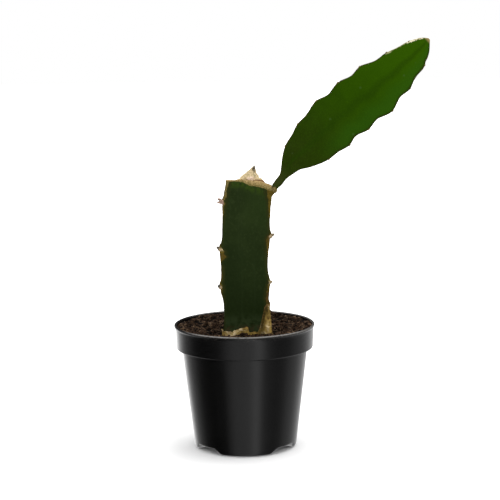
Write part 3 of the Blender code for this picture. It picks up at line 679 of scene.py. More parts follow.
# Height, and how dark the cork has gone there: 0 is fresh tan, 1 is dark brown.
CORK_TONES = (
    (
        (0.098, 0.8), (0.136, 0.7), (0.143, 0.35), (0.15, 0.8), (0.16, 0.75), (0.166, 0.62),
        (0.1725, 0.5), (0.175, -0.4), (0.1768, 0.3), (0.19, 0.5), (0.215, 0.32), (0.234, 0.15),
    ),
    (
        (0.098, 0.3), (0.118, 0.7), (0.124, 0.6), (0.1255, -0.2), (0.127, 0.75), (0.138, 0.8),
        (0.1435, 0.35), (0.1465, -0.1), (0.149, 0.6), (0.17, 0.65), (0.18, 0.7), (0.185, 0.8),
        (0.19, 0.7), (0.2, 0.5), (0.215, 0.55), (0.223, 0.6), (0.234, 0.5),
    ),
    (
        (0.098, 0.5), (0.13, 0.8), (0.16, 0.4), (0.196, 0.7), (0.233, 0.3),
    ),
)


def cork_values(rings):
    """Each point's distance from the nearest rib's edge less the cork's width there, and its tone."""
    away = np.linalg.norm(rings[:, :, None, :2] - rings[:, None, RIB_COLUMNS, :2], axis=-1)
    widths = np.stack([between(table, rings[..., 2]) for table in CORK_WIDTHS], axis=-1)
    tones = np.stack([between(table, rings[..., 2]) for table in CORK_TONES], axis=-1)
    rib = away.argmin(axis=-1)[..., None]
    outside = np.take_along_axis(away - widths, rib, axis=-1)[..., 0]
    return outside, np.take_along_axis(tones, rib, axis=-1)[..., 0]


def stem_rings():
    """Rings from the ground to the cut end, rougher on the cork, and the height of each column's top."""
    outline = stem_outline(STEM_TOP)
    tops = cut_end(outline[:, 0], outline[:, 1])
    shares = np.linspace(0, 1, STEM_ROWS)[:, None]
    rings = stem_points(STEM_GROUND + shares * (tops - STEM_GROUND))
    outside, _ = cork_values(rings)
    cork = eased(outside, 0.0006, -0.0004)
    rough = 0.00016 * noise(rings, 0.0028, 3, 2) + 0.0001
    relief = rough * cork + 0.00025 * noise(rings, 0.014, 5, 2)
    return rings + grid_normals(rings) * relief[..., None], tops


rings, stem_tops = stem_rings()
buried = np.repeat(rings[:1], 3, axis=0)
buried[0] = drawn_in(buried[0], 0.72)
buried[..., 2] = np.array([STEM_BURIED_TO, STEM_BURIED_TO + 0.004, STEM_GROUND - 0.002])[:, None]
over_end = np.array([drawn_in(rings[-1], scale) for scale in (0.7, 0.35)])
over_end[..., 2] = cut_end(over_end[..., 0], over_end[..., 1])
skin_rings = np.concatenate([buried, rings, over_end])
outside_cork, cork_tone = cork_values(skin_rings)
below_cut = stem_tops - skin_rings[..., 2]
print("stem from", skin_rings[..., 2].min().round(4), "to", skin_rings[..., 2].max().round(4))


# %% Stem material
def cork_colour(tree, tone):
    """Tan cork that goes golden and then brown with the tone, and cream where the tone is below 0."""
    tan = mixed(mottle(tree, 500, 0.3, 0.7), (0.082, 0.068, 0.024), (0.142, 0.118, 0.048))
    gold = mixed(mottle(tree, 460, 0.3, 0.7), (0.046, 0.033, 0.003), (0.082, 0.057, 0.007))
    brown = mixed(mottle(tree, 420, 0.3, 0.7), (0.024, 0.017, 0.003), (0.06, 0.034, 0.007))
    skin = mixed(ranged(tone, 0.0, 0.5, smooth=False), tan, gold)
    skin = mixed(ranged(tone, 0.5, 1.0, smooth=False), skin, brown)
    return mixed(ranged(tone, 0.0, -0.3), skin, (0.34, 0.26, 0.14))


def stem_material():
    """Dark green flesh, olive beside the ribs, with cork on their edges, and fresher under the cut.

    Each paint below goes over what is there by a mask: fine mottling, the darker lower half, painted
    shade on the left side, painted light on the upper right, long streaks, the fresh edge under the cut,
    and stains at the foot.
    """
    material, tree, _ = new_material("stem_flesh", 0.5, 0.03)
    place, across, height = object_place(tree)
    outside, cut = attribute(tree, "outside_cork"), attribute(tree, "below_cut")
    green = mixed(mottle(tree, 60, 0.35, 0.7), (0.0088, 0.0158, 0.003), (0.012, 0.0205, 0.0042))
    green = mixed(mottle(tree, 420, 0.5, 0.75), green, (0.0145, 0.0235, 0.0058))
    low = ranged(height, 0.165, 0.118)
    green = mixed(times(low, 0.58), green, (0.0056, 0.0108, 0.0018))
    # Painted shade: the left side of the face, which turns away from the light, is darkened.
    left = times(window(height, 0.118, 0.132, 0.165, 0.19), ranged(across, 0.008, -0.014))
    green = mixed(times(left, 0.7), green, (0.0062, 0.0118, 0.002))
    # Painted light: the upper right of the face, which turns towards the light, is brightened.
    upper = times(ranged(height, 0.18, 0.215), ranged(across, -0.006, 0.016))
    green = mixed(times(upper, 0.6), green, (0.0125, 0.024, 0.004))
    stretched = add_node(tree, "Mapping", {"Vector": place, "Scale": (900.0, 900.0, 14.0)}).outputs[0]
    wave = add_node(tree, "TexNoise", {"Vector": stretched, "Scale": 1.0, "Detail": 3.0}).outputs["Fac"]
    streak = ranged(wave, 0.55, 0.75)
    green = mixed(times(streak, 0.3), green, (0.015, 0.024, 0.0078))
    fresh = times(ranged(cut, 0.0085, 0.002), mottle(tree, 300, 0.35, 0.6))
    green = mixed(times(fresh, 0.8), green, (0.019, 0.037, 0.0028))
    blue = times(ranged(height, 0.121, 0.109), mottle(tree, 230, 0.28, 0.58))
    green = mixed(times(blue, 0.95), green, (0.0195, 0.03, 0.0105))
    stain = times(ranged(height, 0.1095, 0.106), mottle(tree, 330, 0.4, 0.6))
    green = mixed(times(stain, 0.7), green, (0.033, 0.024, 0.01))
    ragged = roughened(outside, 330, 0.0011)
    olive = mixed(ranged(ragged, 0.0034, 0.0004), green, (0.0155, 0.0185, 0.0032))
    skin = mixed(ranged(ragged, 0.0003, -0.0003), olive, cork_colour(tree, attribute(tree, "cork_tone")))
    nicked = roughened(cut, 330, -0.0007, 0.35, 0.65, 0.0)
    skin = mixed(ranged(nicked, 0.0002, -0.0002), skin, (0.11, 0.088, 0.026))
    return dressed(material, skin, grain(tree, 1300, 0.5), 0.00006)


flesh = stem_material()
cut_middle = float(cut_end(STEM_AXIS_X, 0))
points, faces = closed_grid(skin_rings, (STEM_AXIS_X, 0, STEM_BURIED_TO), (STEM_AXIS_X, 0, cut_middle))
add_piece(
    "stem_skin", points, faces, flesh,
    ("main_stem", "left_margin", "right_margin", "back_margin"),
    {
        "outside_cork": end_values(outside_cork, 0.02, 0.02),
        "cork_tone": end_values(cork_tone, 0, 0),
        "below_cut": end_values(below_cut, 0.1, 0),
    },
)

# %% [markdown]
# Thorns stand in small bundles on the areoles of a dragon fruit stem. They are made all at once: each
# thorn is a tapering tube on a slightly bent line, so one array of shape (thorns, rings, corners, 3)
# holds them all.

# %% Thorns
THORN_RINGS = 7
THORN_CORNERS = 7
THORN_ROOTED = 0.0006
THORN_BEND = 0.1


def around(line, first, second, radii, corners):
    """Rings of tubes: each point of a line, plus its radius times cosine first plus sine second."""
    turn = np.linspace(0, 2 * math.pi, corners, endpoint=False)[:, None]
    circle = np.cos(turn) * first[..., None, :] + np.sin(turn) * second[..., None, :]
    return line[..., None, :] + radii[..., None, None] * circle


def thorn_points(places, aims, lengths, radii, blunt=0.12):
    """Tapered tubes: ring s lies s along its thorn's aim, bent by s squared, and thins out to blunt."""
    places, aims = np.asarray(places, float), unit(aims)
    across = unit(np.cross(aims, (0.13, 0.37, 0.91)))
    above = np.cross(aims, across)
    s = np.linspace(0, 1, THORN_RINGS)
    lengths = np.asarray(lengths)[:, None, None]
    line = places[:, None] - aims[:, None] * THORN_ROOTED + aims[:, None] * s[:, None] * lengths
    line = line + above[:, None] * (THORN_BEND * s**2)[:, None] * lengths
    fall = 1 - (1 - np.broadcast_to(blunt, len(places))[:, None]) * s**1.4
    return around(line, across[:, None], above[:, None], np.asarray(radii)[:, None] * fall, THORN_CORNERS)


def tubes(rings):
    """Points and faces of many closed tubes, (tubes, rows, corners, 3), each with two end points."""
    count, rows, corners = rings.shape[:3]
    ends = np.stack([rings[:, 0].mean(axis=1), rings[:, -1].mean(axis=1)], axis=1)
    points = np.concatenate([rings.reshape(count, -1, 3), ends], axis=1)
    step = (np.arange(count) * points.shape[1])[:, None, None]
    faces = [(own[None] + step).reshape(-1, own.shape[1]).tolist()
             for own in (grid_quads(rows, corners), grid_caps(rows, corners))]
    return points.reshape(-1, 3), faces[0] + faces[1]


# Rib, height, rise, sideways lean, length, radius, how blunt each thorn is and how dark its tip.
STEM_THORNS = (
    (0, 0.2154, 0.8, 0.1, 0.0064, 0.00145, 0.7, 0.15),
    (0, 0.2143, 0.32, -0.05, 0.006, 0.0014, 0.66, 0.15), (0, 0.213, 0.75, 0.6, 0.0028, 0.0008, 0.3, 0.3),
    (0, 0.1746, 1.0, 0.05, 0.0046, 0.00175, 0.62, 0.9),
    (0, 0.1738, 0.25, -0.5, 0.0034, 0.0007, 0.25, 0.5), (0, 0.142, 0.9, 0.0, 0.0034, 0.0019, 0.6, 1.0),
    (0, 0.1412, 0.3, 0.6, 0.0018, 0.0006, 0.25, 0.5), (1, 0.185, 0.8, -0.05, 0.0054, 0.0017, 0.68, 0.45),
    (1, 0.1838, 0.15, 0.6, 0.003, 0.0007, 0.25, 0.5), (1, 0.1453, 0.8, 0.0, 0.003, 0.0015, 0.62, 0.0),
    (1, 0.1446, 0.2, 0.6, 0.0012, 0.0005, 0.2, 0.1), (1, 0.1268, 0.4, -0.2, 0.0018, 0.0006, 0.3, 0.2),
    (2, 0.1185, 0.5, 0.2, 0.004, 0.0012, 0.5, 0.8), (2, 0.1177, 0.0, -0.4, 0.0026, 0.0006, 0.2, 0.4),
    (2, 0.1576, 0.6, -0.2, 0.005, 0.0014, 0.6, 0.9), (2, 0.1566, 0.1, 0.4, 0.0034, 0.0007, 0.2, 0.4),
    (2, 0.1966, 0.5, 0.2, 0.0046, 0.0013, 0.55, 0.9), (2, 0.1956, 0.0, -0.4, 0.003, 0.0006, 0.2, 0.4),
)


def stem_thorns():
    """Place and aim of every thorn of the list."""
    places, aims = [], []
    for rib, height, rise, sideways, *_ in STEM_THORNS:
        out, side = axes_at(RIB_ANGLES[rib])
        reach = float(rib_reach(rib, np.array(height)))
        flat = (reach - THORN_ROOTED) * out + THORN_ROOTED * sideways * side
        places.append((flat[0] + STEM_AXIS_X, flat[1], height))
        aims.append((*(out + sideways * side), rise))
    return places, aims


def thorn_material():
    """Woody brown-grey spikes, pinkish on the top bundle, dark at the tip."""
    material, tree, _ = new_material("thorn_wood", 0.62, 0.5)
    _, _, height = object_place(tree)
    pink = mixed(mottle(tree, 700, 0.4, 0.6), (0.175, 0.105, 0.075), (0.32, 0.21, 0.155))
    tan = mixed(mottle(tree, 700, 0.4, 0.6), (0.17, 0.125, 0.06), (0.3, 0.225, 0.125))
    wood = mixed(ranged(height, 0.203, 0.207), tan, pink)
    tip = times(ranged(attribute(tree, "along"), 0.48, 0.78), attribute(tree, "dark_tip"))
    wood = mixed(tip, wood, (0.034, 0.03, 0.019))
    return dressed(material, wood, grain(tree, 2500, 0.4), 0.00004)


def add_thorns(name, rings, dark_tips):
    """The thorns as one piece. Each point stores how far along its thorn it is, and how dark the tip."""
    own = np.concatenate([np.repeat(np.linspace(0, 1, THORN_RINGS), THORN_CORNERS), [0, 1]])
    points, faces = tubes(rings)
    add_piece(name, points, faces, thorn_wood, values={
        "along": np.tile(own, len(rings)), "dark_tip": np.repeat(dark_tips, len(own)),
    })


thorn_wood = thorn_material()
lengths, radii, blunt, dark_tips = np.array(STEM_THORNS)[:, 4:].T
add_thorns("stem_thorns", thorn_points(*stem_thorns(), lengths, radii, blunt), dark_tips)

# %% [markdown]
# Where the stem was cut it has dried. The skin round the cut has shrunk to a corky rim, and the woody
# core stands out of it like a tent pole under canvas. The callus is carried through a few key rings,
# from its foot on the skin, over the rim, in to the foot of the tent and up to the dark tip, and then
# wrinkled: pleats run from the tip down to the rim.

# %% Dried cut end
CORE_TIP = np.array([0.0106, 0.0005, 0.2454])
# The tent's rings: middle across, half widths across and deep, and height.
CORE_TENT = (
    (0.0067, 0.0075, 0.0056, 0.2358), (0.0071, 0.0053, 0.0042, 0.2378), (0.0081, 0.0035, 0.0032, 0.2402),
    (0.0092, 0.002, 0.002, 0.2424), (0.0101, 0.0009, 0.001, 0.2441),
)
# Place across the stem, and how far the corky rim stands above the cut there.
RIM_HEIGHTS = (
    (-0.018, 0.0013), (-0.004, 0.0013), (0.0, 0.0021), (0.0077, 0.0042), (0.017, 0.0048),
    (0.0255, 0.0046),
)
# The rim's rings: the size of each beside the stem's outline, and how high it stands over the cut: a
# share of the rim's own height, and metres on top.
RIM_RINGS = (
    (0.9, 0.0, -0.0004), (1.0, 0.0, -0.0002), (0.998, 0.6, 0.0), (0.975, 1.0, 0.0), (0.92, 1.02, 0.0),
    (0.82, 0.72, 0.0003),
)
CALLUS_ROWS = 90
PLEATS = 17
# Share of the way from the cut's edge to the tip where the rolled rim turns from shadowed to lit.
ROLL_DARK = 0.07
ROLL_LIT = 0.16
# The pinkish scar and the dark tip: how places are scaled, and the middle of each in scaled places.
SCAR_SCALE, SCAR_MIDDLE = (1.0, 1.0, 1.5), (0.007, -0.0056, 0.3519)
TIP_SCALE, TIP_MIDDLE = (1.7, 0.0, 1.0), (0.017, 0.0, 0.2421)


def callus_rings():
    """Key rings round the cut end, joined by smooth curves, then pushed out by pleats and noise."""
    outline = stem_outline(STEM_TOP, plain=True)
    turns = np.arctan2(outline[:, 1], outline[:, 0] - STEM_AXIS_X)
    circle = np.column_stack([np.cos(turns), np.sin(turns)])
    rim = between(RIM_HEIGHTS, outline[:, 0]) + 0.0002 * noise(outline * (1, 1, 0), 0.004, 21, 2)
    foot = drawn_in(outline, 0.6) + (0.0015, 0, 0)
    x = foot[:, 0]
    foot_rise = 0.0012 + 0.0016 * eased(x, -0.006, 0.001) + 0.004 * eased(x, 0.004, 0.014)
    lying = [(drawn_in(outline, scale), rim * share + more) for scale, share, more in RIM_RINGS]
    lying.append((foot, foot_rise))
    keys = [at_height(ring, cut_end(ring[:, 0], ring[:, 1]) + above) for ring, above in lying]
    for middle, half_across, half_deep, height in CORE_TENT:
        keys.append(at_height((middle, CORE_TIP[1]) + circle * (half_across, half_deep), height))
    keys = np.array(keys)
    lengths = np.linalg.norm(np.diff(keys, axis=0), axis=-1).mean(axis=1)
    places = np.concatenate([[0], np.cumsum(lengths)])
    print("callus keys at", (places / places[-1]).round(3).tolist())
    along = np.linspace(0, places[-1], CALLUS_ROWS)
    rings = through(keys, places, along)
    share = (along / places[-1])[:, None]
    inside = eased(share, 0.25, 0.45) * (1 - 0.6 * eased(share, 0.9, 1.0))
    pleats = np.sin(turns * PLEATS + 2.5 * noise(rings, 0.006, 23)) * 0.5 + 0.5
    relief = 0.00035 * inside * pleats * noise(rings, 0.005, 25, 2)
    relief = relief + 0.00022 * noise(rings, 0.0022, 27, 2) * eased(share, 0.02, 0.1)
    return rings + grid_normals(rings) * relief[..., None], np.broadcast_to(share, rings.shape[:2])


def callus_material():
    """Golden cork on the rim with painted shade below and painted light above, a red-brown crease inside
    it with painted shade, cream fibres, a pink scar and a dark tip.
    """
    material, tree, _ = new_material("dried_callus", 0.82, 0.12)
    place, across, height = object_place(tree)
    share = attribute(tree, "share")
    fibre = add_node(tree, "TexNoise", {"Vector": place, "Scale": 900.0, "Detail": 6.0}).outputs["Fac"]
    fibre = ranged(fibre, 0.35, 0.65)
    # Painted shade and painted light: a shaded copy of the cork for the rolled rim's lower side, and a
    # lit copy for its upper side.
    shadowed = mixed(fibre, (0.095, 0.072, 0.02), (0.185, 0.138, 0.048))
    lit = mixed(fibre, (0.165, 0.115, 0.04), (0.34, 0.235, 0.105))
    cork = mixed(ranged(share, ROLL_DARK, ROLL_LIT), shadowed, lit)
    cream = mixed(fibre, (0.3, 0.235, 0.125), (0.5, 0.4, 0.245))
    cream = mixed(mottle(tree, 260, 0.55, 0.7), cream, (0.23, 0.19, 0.105))
    ragged = roughened(share, 200, 0.06)
    skin = mixed(ranged(ragged, 0.33, 0.42), cork, cream)
    lower = plus(ragged, ranged(across, 0.013, 0.006, 0.0, -0.09))
    # The crease: red-brown cork, darkened further as painted shade in the groove between the rim and the
    # tent.
    crease = times(window(lower, 0.285, 0.32, 0.345, 0.39), ranged(across, 0.001, 0.005))
    skin = mixed(times(crease, 0.9), skin, (0.115, 0.045, 0.022))
    scar = roughened(distance(place, SCAR_SCALE, SCAR_MIDDLE), 420, 0.0016, middle=0.0)
    skin = mixed(times(ranged(scar, 0.0042, 0.0026), 0.9), skin, (0.64, 0.5, 0.385))
    tip = roughened(distance(place, TIP_SCALE, TIP_MIDDLE), 700, 0.001, middle=0.0)
    dark = times(ranged(tip, 0.0035, 0.0025), mottle(tree, 620, 0.3, 0.46))
    skin = mixed(dark, skin, (0.028, 0.024, 0.016))
    skin = mixed(times(ranged(height, 0.2438, 0.2446), 0.8), skin, (0.12, 0.11, 0.085))
    return dressed(material, skin, grain(tree, 900, 0.6), 0.00025)


callus = callus_material()
rings, share = callus_rings()
points, faces = closed_grid(rings, (STEM_AXIS_X, 0, cut_middle - 0.0004), CORE_TIP)
add_piece(
    "callus_cap", points, faces, callus, ("cut_callus",), {"share": end_values(share, 0, 1)}
)

# %% [markdown]
# The branch grows from a corky knuckle at the right rib's top. The knuckle is a small lump, so it is a
# sphere worked out from two angles, squashed to its three radii and roughened.

# %% Knuckle under the branch
KNUCKLE_REACH = 0.0292
KNUCKLE_HEIGHT = 0.2257
KNUCKLE_RADII = np.array([0.0021, 0.0026, 0.0028])


def unit_ball(rows, columns):
    """A ball's points: at each rise, a circle as wide as the rise's cosine, at the rise's sine."""
    rise = np.linspace(-math.pi / 2, math.pi / 2, rows + 2)[1:-1, None]
    turn = np.linspace(0, 2 * math.pi, columns, endpoint=False)[None]
    flat = np.cos(rise) * np.cos(turn), np.cos(rise) * np.sin(turn)
    return np.stack([*flat, np.sin(rise) + 0 * turn], axis=-1)


def knuckle_rings(rows=28, columns=40):
    """A ball pushed in and out by noise, squashed to its radii and set on the right rib's direction."""
    ball = unit_ball(rows, columns)
    ball = ball * (1 + 0.1 * noise(ball, 0.7, 31, 2))[..., None] * KNUCKLE_RADII
    out, side = axes_at(RIB_ANGLES[1])
    middle = KNUCKLE_REACH * out + (STEM_AXIS_X, 0)
    flat = middle + ball[..., :1] * out + ball[..., 1:2] * side
    return np.dstack([flat, ball[..., 2] + KNUCKLE_HEIGHT]), middle


def cork_material():
    """Brown cork with pale flecks."""
    material, tree, _ = new_material("brown_cork", 0.85, 0.12)
    cork = mixed(mottle(tree, 600, 0.35, 0.65), (0.066, 0.048, 0.012), (0.14, 0.102, 0.034))
    return dressed(material, cork, grain(tree, 1200, 0.6), 0.0002)


brown_cork = cork_material()
rings, middle = knuckle_rings()
bottom, top = (*middle, rings[0, :, 2].min()), (*middle, rings[-1, :, 2].max())
points, faces = closed_grid(rings, bottom, top)
add_piece("branch_knuckle", points, faces, brown_cork)

# %% [markdown]
# The young branch is a flat blade with wavy edges. Its outline was measured as distances above and
# below the straight line from its root to its tip. Each section has two wings and a third rib behind,
# so it is the same kind of section as the stem's, with thin edges, and it is carried along a line that
# leans back a little.

# %% The branch's measures
BRANCH_ROOT = np.array([0.0268, -0.0148, 0.22825])
BRANCH_RISE = math.radians(42.8)
BRANCH_LENGTH = 0.1802
BRANCH_SUNK = 0.0016
BRANCH_SETBACK = 0.01
BRANCH_EDGE_HALF = 0.0009
WING_FORWARD = math.radians(9)
BACK_RIB = 0.0135
# Distance along the branch, and how far its edge stands from the line from root to tip.
UPPER_EDGE = (
    (0.0, 0.0026), (0.005, 0.0036), (0.0115, 0.005), (0.0155, 0.008), (0.0215, 0.013), (0.031, 0.019),
    (0.04, 0.0216), (0.051, 0.0252), (0.061, 0.0256), (0.0755, 0.0284), (0.0865, 0.0256), (0.099, 0.0271),
    (0.112, 0.0235), (0.1215, 0.024), (0.135, 0.0187), (0.146, 0.017), (0.154, 0.0143), (0.166, 0.0107),
    (0.173, 0.0074), (0.177, 0.0048), (0.1802, 0.001),
)
LOWER_EDGE = (
    (0.0, 0.003), (0.0065, 0.0032), (0.012, 0.0024), (0.019, 0.0032), (0.0255, 0.0046), (0.035, 0.0098),
    (0.05, 0.0152), (0.06, 0.0161), (0.0705, 0.0187), (0.0785, 0.0167), (0.0915, 0.0202), (0.102, 0.019),
    (0.1165, 0.0228), (0.129, 0.0188), (0.14, 0.0193), (0.15, 0.0155), (0.162, 0.0134), (0.165, 0.0116),
    (0.1685, 0.0104), (0.171, 0.0091), (0.1745, 0.0065), (0.1775, 0.0035), (0.1802, 0.0008),
)
UPPER_AREOLES = (0.031, 0.051, 0.0755, 0.099, 0.1215, 0.146, 0.166)
LOWER_AREOLES = (0.05, 0.0705, 0.0915, 0.1165, 0.14, 0.162)
BACK_RIB_AREOLES = (0.04, 0.063, 0.087, 0.11, 0.132, 0.153)
# The three ribs: the upper edge as a wing, the rib behind, and the lower edge as a wing.
BRANCH_ANGLES = (-WING_FORWARD, math.pi / 2, math.pi + WING_FORWARD)
ALONG = np.array([math.cos(BRANCH_RISE), 0.0, math.sin(BRANCH_RISE)])
ACROSS = np.array([-math.sin(BRANCH_RISE), 0.0, math.cos(BRANCH_RISE)])
BACK = np.array([0.0, 1.0, 0.0])


def branch_shape(stations):
    """The middle line's place across and back, and the reach of the wings and of the rib behind."""
    upper, lower = between(UPPER_EDGE, stations), between(LOWER_EDGE, stations)
    share = np.clip(stations / BRANCH_LENGTH, 0, 1)
    backwards = BRANCH_SETBACK * share**1.5 + 0.004 * np.sin(math.pi * share)
    swell = np.clip(np.sin(math.pi * share**0.7), 0, 1) ** 0.6
    wave = sum(bell(stations, place, 0.005) for place in BACK_RIB_AREOLES)
    back = 0.0018 + BACK_RIB * swell + 0.0012 * wave * swell
    half_width = (upper + lower) / 2
    return (upper - lower) / 2, backwards, half_width, np.minimum(back, half_width + 0.001)


def branch_point(station, across_by, back_by):
    """The place at a station along the branch, so far across it and so far behind its line."""
    ahead, sideways = np.multiply.outer(station, ALONG), np.multiply.outer(across_by, ACROSS)
    return BRANCH_ROOT + ahead + sideways + np.multiply.outer(back_by, BACK)


print("branch tip:", (BRANCH_ROOT + BRANCH_LENGTH * ALONG).round(4))

# %% Branch blade
BRANCH_ROWS = 420
WING_POINTS = 16
BRANCH_EDGE_POINTS = 7


def branch_sections(stations):
    """Sections of the branch, (rows, columns, 2): across the blade, and behind it."""
    _, _, half_width, back = branch_shape(stations)
    wing, back = (half_width / math.cos(WING_FORWARD))[:, None], back[:, None]
    half_width = half_width[:, None, None]
    core = np.minimum(0.0042, 0.55 * half_width)
    edge_half = np.minimum(BRANCH_EDGE_HALF, 0.4 * half_width)
    rounding = np.minimum(0.0006, 0.5 * half_width)
    reaches, valleys = ((wing, back), (back, wing), (wing, wing)), (core, core, 0.45 * core)
    return ribbed_section(
        BRANCH_ANGLES, reaches, valleys, edge_half, rounding, BRANCH_EDGE_POINTS, WING_POINTS
    )


def branch_rings():
    """Sections carried along the branch's line, close together at both ends, and roughened by noise.

    With each point come its station, its distance from the nearest edge, and its place across the blade
    from -1 at the lower edge to 1 at the upper one.
    """
    even = np.linspace(0, 1, BRANCH_ROWS)
    crowded = (1 - np.cos(math.pi * even)) / 2
    stations = 0.65 * np.linspace(0, BRANCH_LENGTH, BRANCH_ROWS) + 0.35 * (BRANCH_LENGTH * crowded)
    middle, backwards, half_width, _ = branch_shape(stations)
    sections = branch_sections(stations)
    base = branch_point(stations, middle, backwards)
    rings = base[:, None] + sections[..., :1] * ACROSS + sections[..., 1:] * BACK
    relief = 0.00022 * noise(rings, 0.01, 41, 2) + 0.00008 * noise(rings, 0.0025, 43)
    calm = eased(half_width, 0.002, 0.008)[:, None]
    rings = rings + grid_normals(rings) * (relief * calm)[..., None]
    step = sections.shape[1] // 3
    edges = [sections[:, [k * step + BRANCH_EDGE_POINTS // 2]] for k in range(3)]
    edge_distance = np.minimum.reduce([np.linalg.norm(sections - edge, axis=-1) for edge in edges])
    side = sections[..., 0] / np.maximum(half_width, 0.0005)[:, None]
    return rings, np.broadcast_to(stations[:, None], rings.shape[:2]), edge_distance, side


rings, branch_along, branch_edge, branch_side = branch_rings()
print("branch grid:", rings.shape[:2])

# %% Branch material
def branch_material():
    """Young green skin, olive by the root and brighter to the tip, with a thin brown horny edge.

    The paints go on in this order: painted light on the lower wing, painted shade along the valley in the
    middle, fine mottling, pale dots, the olive root, the dark line above the lower edge, the horn, and
    the cream strip and tan tip at the end.
    """
    material, tree, _ = new_material("branch_skin", 0.48, 0.006)
    along, edge, side = attribute(tree, "along"), attribute(tree, "edge"), attribute(tree, "side")
    old = mixed(mottle(tree, 70, 0.35, 0.7), (0.0098, 0.018, 0.001), (0.0118, 0.0215, 0.0016))
    young = mixed(mottle(tree, 55, 0.35, 0.7), (0.0104, 0.0305, 0.0001), (0.0128, 0.037, 0.0001))
    green = mixed(ranged(along, 0.02, 0.105), old, young)
    ripe = times(ranged(along, 0.085, 0.165), 0.8)
    green = mixed(ripe, green, (0.018, 0.0545, 0.0001))
    # Painted light: the lower wing, which tilts up towards the light, is brightened.
    beside = times(ranged(side, -0.15, -0.75), ranged(along, 0.04, 0.08))
    green = mixed(times(beside, 0.55), green, (0.0135, 0.05, 0.0024))
    # Painted shade: the valley down the middle of the blade is darkened.
    dip = add_node(tree, "Math", {0: side}, operation="ABSOLUTE").outputs[0]
    green = mixed(ranged(dip, 0.26, 0.02, 0.0, 0.45), green, (0.0082, 0.024, 0.0004))
    green = mixed(times(mottle(tree, 900, 0.45, 0.7), 0.18), green, (0.023, 0.06, 0.001))
    place, _, _ = object_place(tree)
    speck = add_node(tree, "TexVoronoi", {"Vector": place, "Scale": 75.0}).outputs["Distance"]
    green = mixed(times(ranged(speck, 0.1, 0.05), 0.22), green, (0.045, 0.08, 0.025))
    green = mixed(ranged(along, 0.022, 0.006), green, (0.02, 0.0255, 0.0048))
    ragged = roughened(edge, 420, 0.0007)
    under = times(ranged(ragged, 0.0028, 0.001), ranged(side, -0.2, -0.5))
    green = mixed(times(under, 0.8), green, (0.01, 0.0195, 0.0014))
    horn = mixed(mottle(tree, 380, 0.35, 0.6), (0.014, 0.013, 0.004), (0.05, 0.04, 0.014))
    upper_side = ranged(side, 0.0, 0.3)
    pale = times(ranged(along, 0.1435, 0.148), upper_side)
    horn = mixed(times(pale, 0.7), horn, (0.22, 0.21, 0.095))
    skin = mixed(ranged(ragged, 0.00115, 0.0006), green, horn)
    fleck = times(window(along, 0.144, 0.146, 0.149, 0.151), upper_side, ranged(ragged, 0.0021, 0.0013))
    skin = mixed(times(fleck, 0.8), skin, (0.24, 0.23, 0.115))
    cream = mixed(mottle(tree, 700, 0.4, 0.6), (0.22, 0.2, 0.09), (0.62, 0.56, 0.42))
    strip = times(window(along, 0.163, 0.165, 0.1755, 0.1775), upper_side, ranged(ragged, 0.0017, 0.0011))
    skin = mixed(strip, skin, cream)
    tip = times(ranged(along, 0.1768, 0.1795), ranged(ragged, 0.006, 0.003))
    skin = mixed(tip, skin, (0.19, 0.145, 0.055))
    return dressed(material, skin, grain(tree, 1100, 0.5), 0.00006)


branch_skin = branch_material()
root, tip = [
    branch_point(place, *branch_shape(np.array(station))[:2])
    for place, station in ((-BRANCH_SUNK, 0.0), (BRANCH_LENGTH, BRANCH_LENGTH))
]
points, faces = closed_grid(rings, root, tip)
add_piece(
    "branch_blade", points, faces, branch_skin, ("branch",),
    {
        "along": end_values(branch_along, 0, BRANCH_LENGTH),
        "edge": end_values(branch_edge, 0, 0),
        "side": end_values(branch_side, 0, 0),
    },
)

# %% [markdown]
# Each notch of the branch's edges holds an areole: a small brown pad with two very short thorns. The
# pads are squashed spheres, and the thorns come from the stem's function.

# %% Areoles of the branch
PAD_RADII = (0.0007, 0.0013, 0.0008)


def branch_edge_spots():
    """Place and outward direction of each areole on the branch's three edges."""
    places, outwards = [], []
    for areoles, angle in zip((UPPER_AREOLES, BACK_RIB_AREOLES, LOWER_AREOLES), BRANCH_ANGLES):
        stations = np.array(areoles)
        middle, backwards, half_width, back = branch_shape(stations)
        reach = (back if angle == math.pi / 2 else half_width / math.cos(WING_FORWARD)) - 0.0002
        step = direction(angle)
        places.append(branch_point(stations, middle + step[0] * reach, backwards + step[1] * reach))
        outwards.append(np.tile(step[0] * ACROSS + step[1] * BACK, (len(stations), 1)))
    return np.concatenate(places), np.concatenate(outwards)


def small_balls(places, frames, radii, rows=8, columns=10):
    """Squashed balls: frames (balls, 3, 3) hold each ball's own axes as rows, radii (balls, 3)."""
    scaled = unit_ball(rows, columns)[None] * np.asarray(radii)[:, None, None]
    return np.asarray(places)[:, None, None] + np.einsum("brci,bij->brcj", scaled, np.asarray(frames))


draw = np.random.default_rng(5)
places, outwards = branch_edge_spots()
facing = np.cross(outwards, ALONG)
frames = np.stack([outwards, np.broadcast_to(ALONG, outwards.shape), facing], axis=1)
points, faces = tubes(small_balls(places, frames, np.tile(PAD_RADII, (len(places), 1))))
add_piece("branch_areoles", points, faces, brown_cork)
count = 2 * len(places)
thorn_places = np.repeat(places, 2, axis=0) + np.tile([[0.0004], [-0.0004]], (len(places), 1)) * ALONG
thorn_aims = np.repeat(outwards, 2, axis=0) + 0.45 * ALONG + draw.uniform(-0.5, 0.5, (count, 3))
thorn_lengths = draw.uniform(0.0011, 0.0019, count)
thorns = thorn_points(thorn_places, thorn_aims, thorn_lengths, np.full(count, 0.00028))
add_thorns("branch_thorns", thorns, np.full(count, 0.8))

# %% [markdown]
# Round the stem's foot the old skin has dried to flakes, cream, golden and brown. It is a thin sleeve
# on the stem's own section. Its upper edge follows measured heights and is torn by noise, flakes of
# 1 to 3 mm stand out from it, and near the torn edge they curl away from the stem. How far each point
# stands out is stored for the material, which paints the high flakes pale, their own cream plus a
# painted highlight, and the hollows brown, their own colour plus painted shade.

# %% Flaky foot skin
SKIN_BOTTOM = 0.0965
SKIN_ROWS = 34
